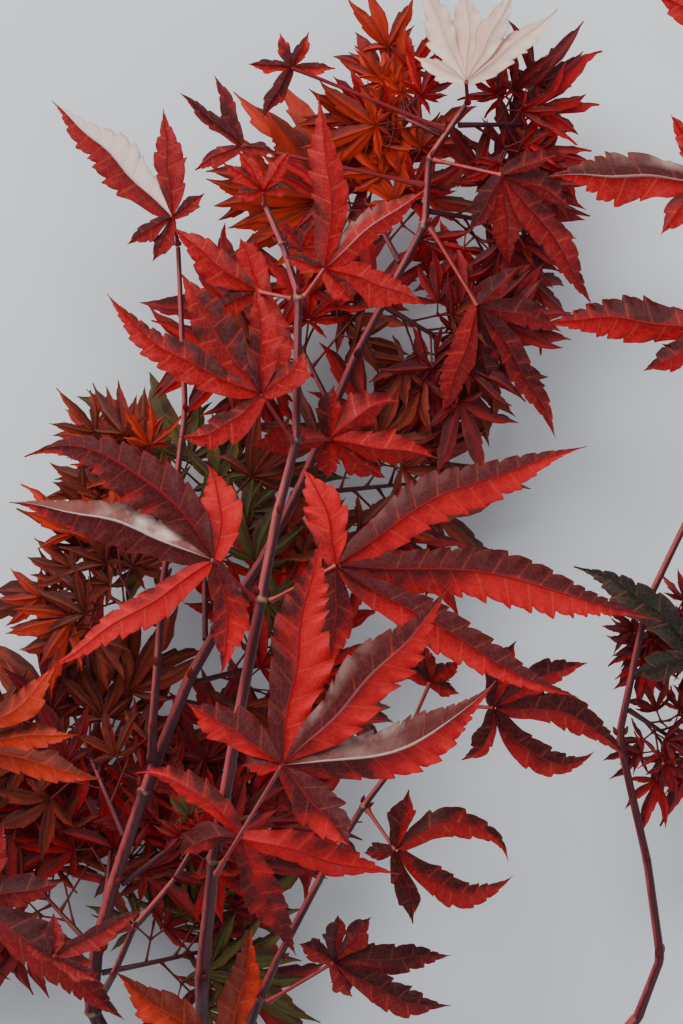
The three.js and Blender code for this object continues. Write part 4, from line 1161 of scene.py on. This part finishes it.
def summed(tree, *terms):
    """The sum of some values, each times its own weight."""
    total = 0.0
    for value, weight in terms:
        total = math_node(tree, "ADD", total, math_node(tree, "MULTIPLY", value, weight))
    return total


def product(tree, first, *others):
    """Some values multiplied together."""
    for other in others:
        first = math_node(tree, "MULTIPLY", first, other)
    return first


def ranged(tree, value, low, high, to_low=0.0, to_high=1.0):
    """A value moved from one range to another, and kept inside it."""
    node = tree.nodes.new("ShaderNodeMapRange")
    connect(tree, value, node.inputs["Value"])
    node.inputs["From Min"].default_value = low
    node.inputs["From Max"].default_value = high
    node.inputs["To Min"].default_value = to_low
    node.inputs["To Max"].default_value = to_high
    return node.outputs["Result"]


def blended(tree, factor, first, second, kind="MIX"):
    """Two colours mixed by a factor."""
    node = tree.nodes.new("ShaderNodeMix")
    node.data_type = "RGBA"
    node.blend_type = kind
    connect(tree, factor, node.inputs["Factor"])
    connect(tree, first, node.inputs["A"])
    connect(tree, second, node.inputs["B"])
    return node.outputs["Result"]


def noise(tree, scale, detail=2.0, roughness=0.5, stretch=None):
    """Noise on the piece's own coordinates, drawn out along y where stretch is given."""
    place = tree.nodes.new("ShaderNodeTexCoord").outputs["Object"]
    if stretch:
        mapping = tree.nodes.new("ShaderNodeMapping")
        mapping.inputs["Scale"].default_value = stretch
        tree.links.new(place, mapping.inputs["Vector"])
        place = mapping.outputs["Vector"]
    node = tree.nodes.new("ShaderNodeTexNoise")
    tree.links.new(place, node.inputs["Vector"])
    node.inputs["Scale"].default_value = scale
    node.inputs["Detail"].default_value = detail
    node.inputs["Roughness"].default_value = roughness
    return node.outputs["Fac"]


def cells(tree, scale, feature="DISTANCE_TO_EDGE"):
    """Distance to the walls of small cells on the piece's own coordinates."""
    place = tree.nodes.new("ShaderNodeTexCoord").outputs["Object"]
    node = tree.nodes.new("ShaderNodeTexVoronoi")
    node.feature = feature
    tree.links.new(place, node.inputs["Vector"])
    node.inputs["Scale"].default_value = scale
    return node.outputs["Distance"]


def leaf_ground(group, entry, mottle):
    """Tissue of a blade's two halves, painted light where lit through and painted shade where it faces the
    light, with random mottling, each leaf a little lighter or darker, and how deep it is.
    """
    # shade sums the painted light and shade of the halves, random mottle and patches, the lobe's tone, and a
    # brightening towards the tip.
    shade = summed(group, (mask_of(group, "half"), 0.7), (mottle, 0.9), (noise(group, 55, 1.0), 1.6),
                   (mask_of(group, "tone"), 1.0), (mask_of(group, "along"), -0.45))
    deep = ranged(group, shade, 0.65, 1.4)
    lot = group.nodes.new("ShaderNodeHueSaturation")
    connect(group, blended(group, deep, entry["Bright"], entry["Deep"]), lot.inputs["Color"])
    connect(group, ranged(group, mask_of(group, "lot"), 0, 1, 0.72, 1.2), lot.inputs["Value"])
    return lot.outputs["Color"], deep


def leaf_sheen_and_glare(group, entry, tissue, mottle, pale):
    """Tissue with a painted sheen on the upper half of a glossy lobe, a painted glare on its crest near the
    foot, and how much of the sheen shows.
    """
    half, along = (mask_of(group, name) for name in ("half", "along"))
    crest = math_node(group, "MAXIMUM", ranged(group, mask_of(group, "out"), 0.4, 0.9),
                      ranged(group, pale, 0.7, 0.9))
    upper = product(group, ranged(group, half, -0.1, 0.3), pale, crest)
    sheen = product(group, upper, ranged(group, mottle, 0.3, 0.6, 0.6, 1.0))
    tissue = blended(group, sheen, tissue, entry["Sheen"])
    # The glare: a painted highlight in a band near the lobe's foot, or along the whole crest on the palest
    # lobes.
    glare_band = product(group, ranged(group, along, 0.06, 0.2), ranged(group, along, 0.34, 0.6, 1.0, 0.0),
                   ranged(group, mottle, 0.38, 0.6, 0.1, 0.9))
    glare_band = math_node(group, "MAXIMUM", glare_band, ranged(group, pale, 1.1, 1.6, 0.0, 0.9))
    return blended(group, product(group, upper, glare_band), tissue, entry["Bloom"]), upper


def leaf_veins(group, entry, tissue, deep, pale, network):
    """Tissue with its fine network, side veins, midrib with a painted glare on glossy lobes, and dark margin.
    """
    shown = product(group, network, ranged(group, deep, 0, 1, 0.16, 0.075))
    tissue = blended(group, shown, tissue, entry["Vein"])
    vein = product(group, ranged(group, mask_of(group, "vein"), 0.3, 0.9),
                   ranged(group, deep, 0, 1, 0.36, 0.17))
    tissue = blended(group, vein, tissue, entry["Vein"])
    rib = ranged(group, mask_of(group, "rib"), 0.15, 0.75)
    tissue = blended(group, rib, tissue, entry["Rib"])
    # A painted glare on the midrib of glossy lobes.
    tissue = blended(group, product(group, rib, ranged(group, pale, 0.2, 1.0)), tissue, entry["Bloom"])
    return blended(group, product(group, mask_of(group, "margin"), 0.5), tissue, entry["Edge"])


def leaf_tissue_group():
    """Colour, roughness and height of a blade: two halves painted light and shade, painted sheen and glare,
    midrib, side veins and fine network.
    """
    group, given, result = node_group("Leaf tissue", [
        ("Bright", (0.46, 0.004, 0.01, 1)),
        ("Deep", (0.07, 0.004, 0.006, 1)),
        ("Vein", (0.9, 0.2, 0.1, 1)),
        ("Rib", (0.2, 0.01, 0.01, 1)),
        # Painted sheen and painted glare of glossy lobes
        ("Sheen", (0.20, 0.055, 0.045, 1)),
        ("Bloom", (0.66, 0.50, 0.46, 1)),
        ("Edge", (0.16, 0.006, 0.008, 1)),
        ("Gloss", 0.48),
    ])
    entry = given.outputs
    pale = mask_of(group, "pale")
    mottle = noise(group, 170, 3.0, 0.55)
    network = ranged(group, cells(group, 620), 0.0, 0.09, 1.0, 0.0)
    tissue, deep = leaf_ground(group, entry, mottle)
    tissue, upper = leaf_sheen_and_glare(group, entry, tissue, mottle, pale)
    tissue = leaf_veins(group, entry, tissue, deep, pale, network)
    rough = summed(group, (entry["Gloss"], 1.0), (mottle, 0.3), (upper, -0.12))
    put_out(group, result, tissue, rough, summed(group, (mottle, 0.6), (network, 0.5)))
    return group


def bark_group():
    """Colour, roughness and height of bark: a side painted lighter where light falls, painted shadow in
    cracks and below joints, pale joints, streaks and small pores.
    """
    group, given, result = node_group("Bark", [
        ("Bark", (0.06, 0.009, 0.018, 1)),
        ("Sunny", (0.34, 0.06, 0.065, 1)),
        ("Joint", (0.36, 0.2, 0.11, 1)),
        ("Shadow", (0.02, 0.01, 0.012, 1)),
        ("Crack", 0.3),
    ])
    entry = given.outputs
    streak = noise(group, 900, 4.0, 0.6, (1, 0.12, 1))
    patch = noise(group, 70, 2.0)
    blot = noise(group, 420, 2.0)
    pores = ranged(group, cells(group, 900, "F1"), 0.08, 0.2, 1.0, 0.0)
    # lit: the side that faces the light is painted lighter, broken by streaks and patches, and lighter
    # towards the tip.
    lit = summed(group, (mask_of(group, "sunny"), 1.0), (streak, 0.5), (patch, 0.7),
                 (mask_of(group, "along"), 0.3))
    tone = blended(group, ranged(group, lit, 1.2, 1.65), entry["Bark"], entry["Sunny"])
    tone = blended(group, ranged(group, patch, 0.4, 0.7, 0.0, 0.4), tone,
                   blended(group, 1.0, tone, (0.5, 0.5, 0.6, 1), "MULTIPLY"))
    # Real cracks between the ridges, darkened with the painted shadow colour as the shade in them.
    crack = product(group, ranged(group, mask_of(group, "ridge"), 0.15, 0.5, 1.0, 0.0), entry["Crack"])
    tone = blended(group, crack, tone, entry["Shadow"])
    tone = blended(group, product(group, mask_of(group, "below"), 0.75), tone, entry["Shadow"])
    ring = product(group, ranged(group, mask_of(group, "joint"), 0.45, 1.0),
                   ranged(group, blot, 0.42, 0.58, 0.05, 0.9))
    tone = blended(group, ring, tone, entry["Joint"])
    tone = blended(group, product(group, pores, 0.1), tone, entry["Joint"])
    put_out(group, result, tone, ranged(group, streak, 0.3, 0.7, 0.38, 0.6),
            summed(group, (streak, 1.0), (pores, 0.6)))
    return group


def finished(name, group, values, bump, specular):
    """A material whose colour, roughness and relief come from a group with its own values."""
    material = bpy.data.materials.new(name)
    material.use_nodes = True
    tree = material.node_tree
    shader = tree.nodes["Principled BSDF"]
    node = tree.nodes.new("ShaderNodeGroup")
    node.node_tree = group
    for label, value in values.items():
        node.inputs[label].default_value = value
    relief = tree.nodes.new("ShaderNodeBump")
    relief.inputs["Strength"].default_value = 1.0
    relief.inputs["Distance"].default_value = bump * MM
    tree.links.new(node.outputs["Colour"], shader.inputs["Base Color"])
    tree.links.new(node.outputs["Roughness"], shader.inputs["Roughness"])
    tree.links.new(node.outputs["Height"], relief.inputs["Height"])
    tree.links.new(relief.outputs["Normal"], shader.inputs["Normal"])
    shader.inputs["Specular IOR Level"].default_value = specular
    return material


def between_colours(first, second):
    """The colour halfway between two."""
    return (*[(one + other) / 2 for one, other in zip(first, second)], 1)


def leaf_materials(tints):
    """The leaf material of each tint."""
    group = leaf_tissue_group()
    for tint in TINTS:
        bright = getattr(tints, f"{tint}_bright")
        deep = getattr(tints, f"{tint}_deep")
        finished(f"Leaf {tint}", group, {
            "Bright": (*bright, 1),
            "Deep": (*deep, 1),
            "Vein": between_colours(bright, VEIN_COLOUR),
            "Rib": between_colours(bright, deep),
        }, LEAF_BUMP, LEAF_SPECULAR)


def bark_materials(shape):
    """The bark of the limb, the shoots and both kinds of stalk."""
    group = bark_group()
    chosen = {
        "Limb bark": (shape.limb_colour, [LIMB_SUNLIT * part for part in shape.limb_colour]),
        "Young bark": (shape.shoot_colour, shape.sunlit_colour, shape.joint_colour),
    }
    for name, (colours, crack, bump, specular) in BARKS.items():
        colours = (*chosen.get(name, ()), *colours)
        values = {label: (*colour, 1) for label, colour in zip(("Bark", "Sunny", "Joint", "Shadow"), colours)}
        finished(name, group, values | {"Crack": crack}, bump, specular)


def materials_once():
    """Every material of the branch, made the first time that one is asked for."""
    if "Sawn wood" not in bpy.data.materials:
        leaf_materials(bpy.context.scene.branch_tints)
        bark_materials(bpy.context.scene.branch_bark)
        sawn_wood_material()


def sawn_wood_material():
    """Pale wood with year rings round the limb's middle."""
    group, _, result = node_group("Year rings")
    place = group.nodes.new("ShaderNodeTexCoord").outputs["Object"]
    centred = group.nodes.new("ShaderNodeMapping")
    centred.inputs["Location"].default_value = [-part * MM for part in SAWN_END + SHIFT]
    group.links.new(place, centred.inputs["Vector"])
    rings = group.nodes.new("ShaderNodeTexWave")
    rings.wave_type = "RINGS"
    rings.rings_direction = "Y"
    rings.inputs["Scale"].default_value = 260
    rings.inputs["Distortion"].default_value = 1.2
    group.links.new(centred.outputs["Vector"], rings.inputs["Vector"])
    grain = noise(group, 1500, 3.0)
    wood = blended(group, rings.outputs["Fac"], (0.40, 0.25, 0.13, 1), (0.72, 0.55, 0.35, 1))
    wood = blended(group, ranged(group, grain, 0.4, 0.7, 0.0, 0.35), wood, (0.45, 0.3, 0.18, 1))
    put_out(group, result, wood, ranged(group, grain, 0, 1, 0.6, 0.85), grain)
    finished("Sawn wood", group, {}, 0.08, 0.2)


def settle(piece, node):
    """Hands a finished piece to the frame in place of its node."""
    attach(piece, "root")
    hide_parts(node)


class BRANCH_OT_limb(bpy.types.Operator):
    """Make the cut limb with cracked bark and a sawn end"""

    bl_idname = "branch.limb"
    bl_label = "Cut Limb"

    def execute(self, context):
        materials_once()
        shells = Shells()
        rings, masks = bark_rings("cut_limb", LIMB_GRID, context.scene.branch_bark.relief, LIMB_SEED)
        shells.add(rings, masks)
        plate = sawn_plate(rings[0])
        shells.add(plate, {"along": np.zeros(plate.shape[:2])}, 1)
        settle(shells.piece("bark_cut_limb", ("Limb bark", "Sawn wood"), LIMB_EDGE), "cut_limb")
        return {"FINISHED"}


class BRANCH_OT_shoots(bpy.types.Operator):
    """Make every shoot with its joints, ring scars and buds"""

    bl_idname = "branch.shoots"
    bl_label = "Shoots"

    def execute(self, context):
        materials_once()
        relief = context.scene.branch_bark.relief * YOUNG_RELIEF
        for seed, name in enumerate(list(SHOOTS)[1:], SHOOT_SEED):
            shells = Shells()
            shells.add(*bark_rings(name, SHOOT_GRID, relief, seed))
            add_buds(shells, SHOOTS[name], seed, 1)
            settle(shells.piece(f"bark_{name}", ("Young bark", "Leaf maroon"), SHOOT_EDGE), name)
        return {"FINISHED"}


class BRANCH_OT_large_leaves(bpy.types.Operator):
    """Make the large leaves of the front shoots"""

    bl_idname = "branch.large_leaves"
    bl_label = "Large Leaves"

    def execute(self, context):
        materials_once()
        shape = context.scene.branch_leaf
        for seed, (name, leaf) in enumerate(LARGE_LEAVES.items(), LEAF_SEED):
            shells = Shells()
            at = np.array(leaf.at, float)
            foot = foot_on(leaf.on, at, STALK_RADIUS)
            shells.add_tube(stalk_rings(foot, at, STALK_RADIUS, *LARGE_STALK), 1)
            add_blade(shells, at, leaf, shape, True, dealer(seed), 0)
            materials = (f"Leaf {leaf.tint}", "Leaf stalk")
            settle(shells.piece(f"blade_{name}", materials, LEAF_EDGE), name)
        return {"FINISHED"}


class BRANCH_OT_sprays(bpy.types.Operator):
    """Make the leafy sprays by their seeded rule, with finer twigs in the same reach"""

    bl_idname = "branch.sprays"
    bl_label = "Sprays"

    def execute(self, context):
        materials_once()
        for name in SPRAYS:
            SprayGrowth(name, context.scene.branch_leaf).grow()
        return {"FINISHED"}


class BRANCH_OT_studio(bpy.types.Operator):
    """Make the floor, the soft lights and the camera that looks straight down"""

    bl_idname = "branch.studio"
    bl_label = "Studio"

    def execute(self, context):
        studio = context.scene.branch_studio
        floor_mesh = bpy.data.meshes.new("studio_floor")
        corners = [(x * FLOOR_REACH, y * FLOOR_REACH, 0) for x, y in ((-1, -1), (1, -1), (1, 1), (-1, 1))]
        floor_mesh.from_pydata(corners, [], [range(4)])
        floor_mesh.materials.append(floor_material())
        floor = bpy.data.objects.new("studio_floor", floor_mesh)
        context.scene.collection.objects.link(floor)
        middle = np.array([PHOTO_FRAME[0] / 2, PHOTO_FRAME[1] / 2, SHOOT_HEIGHT])
        middle = (middle + SHIFT) * MM
        for name in LIGHTS:
            soft_light(name, middle, getattr(studio, f"{name}_power"))
        world = bpy.data.worlds.new("studio_world")
        world.use_nodes = True
        sky = world.node_tree.nodes["Background"]
        sky.inputs["Color"].default_value = (0.8, 0.86, 0.95, 1)
        sky.inputs["Strength"].default_value = 0.3
        context.scene.world = world
        camera_data = bpy.data.cameras.new("picture_camera")
        camera_data.lens = camera_data.sensor_width * studio.distance / (PHOTO_FRAME[1] * MM)
        camera_data.clip_end = 20
        camera = bpy.data.objects.new("picture_camera", camera_data)
        camera.location = middle + np.array([0, 0, studio.distance])
        context.scene.collection.objects.link(camera)
        context.scene.camera = camera
        return {"FINISHED"}


def floor_material():
    """A pale matt floor with a very faint unevenness."""
    group, _, result = node_group("Pale floor")
    cloud = noise(group, 2.5)
    pale = blended(group, cloud, (0.74, 0.79, 0.86, 1), (0.78, 0.83, 0.89, 1))
    put_out(group, result, pale, ranged(group, cloud, 0, 1, 0.85, 0.95), cloud)
    return finished("Pale floor", group, {}, 0.1, 0.2)


def soft_light(name, middle, power):
    """A soft area light where its row of the table puts it, facing the middle."""
    way, size, tint = LIGHTS[name]
    light_data = bpy.data.lights.new(f"{name}_light", "AREA")
    light_data.shape = "RECTANGLE"
    light_data.size, light_data.size_y = size
    light_data.energy = power
    light_data.color = tint
    light = bpy.data.objects.new(f"{name}_light", light_data)
    bpy.context.scene.collection.objects.link(light)
    light.location = middle + np.array(way)
    light.rotation_euler = (-Vector(way)).to_track_quat("-Z", "Y").to_euler()


class BRANCH_PT_panel(bpy.types.Panel):
    """Steps and settings of the branch"""

    bl_idname = "BRANCH_PT_panel"
    bl_label = "Maple Branch"
    bl_space_type = "VIEW_3D"
    bl_region_type = "UI"
    bl_category = "Branch"

    def draw(self, context):
        layout = self.layout
        for step in STEPS:
            layout.operator(step.bl_idname)
        for settings in (context.scene.branch_leaf, context.scene.branch_bark,
                         context.scene.branch_tints, context.scene.branch_studio):
            column = layout.column(align=True)
            for name in settings.__annotations__:
                column.prop(settings, name)


STEPS = (BRANCH_OT_limb, BRANCH_OT_shoots, BRANCH_OT_large_leaves, BRANCH_OT_sprays, BRANCH_OT_studio)
SETTINGS = {
    "branch_leaf": LeafShape,
    "branch_tints": BranchTints,
    "branch_bark": BarkShape,
    "branch_studio": StudioSettings,
}


def register():
    """Registers the settings, steps and panel."""
    for name, settings in SETTINGS.items():
        bpy.utils.register_class(settings)
        setattr(bpy.types.Scene, name, bpy.props.PointerProperty(type=settings))
    for step in (*STEPS, BRANCH_PT_panel):
        bpy.utils.register_class(step)


def unregister():
    """Takes them away again."""
    for step in reversed((*STEPS, BRANCH_PT_panel)):
        bpy.utils.unregister_class(step)
    for name, settings in reversed(SETTINGS.items()):
        delattr(bpy.types.Scene, name)
        bpy.utils.unregister_class(settings)


def main():
    """Makes the branch and its studio."""
    register()
    settle_shoots()
    bpy.ops.branch.limb()
    bpy.ops.branch.shoots()
    bpy.ops.branch.large_leaves()
    bpy.ops.branch.sprays()
    bpy.ops.branch.studio()


if __name__ == "__main__":
    main()
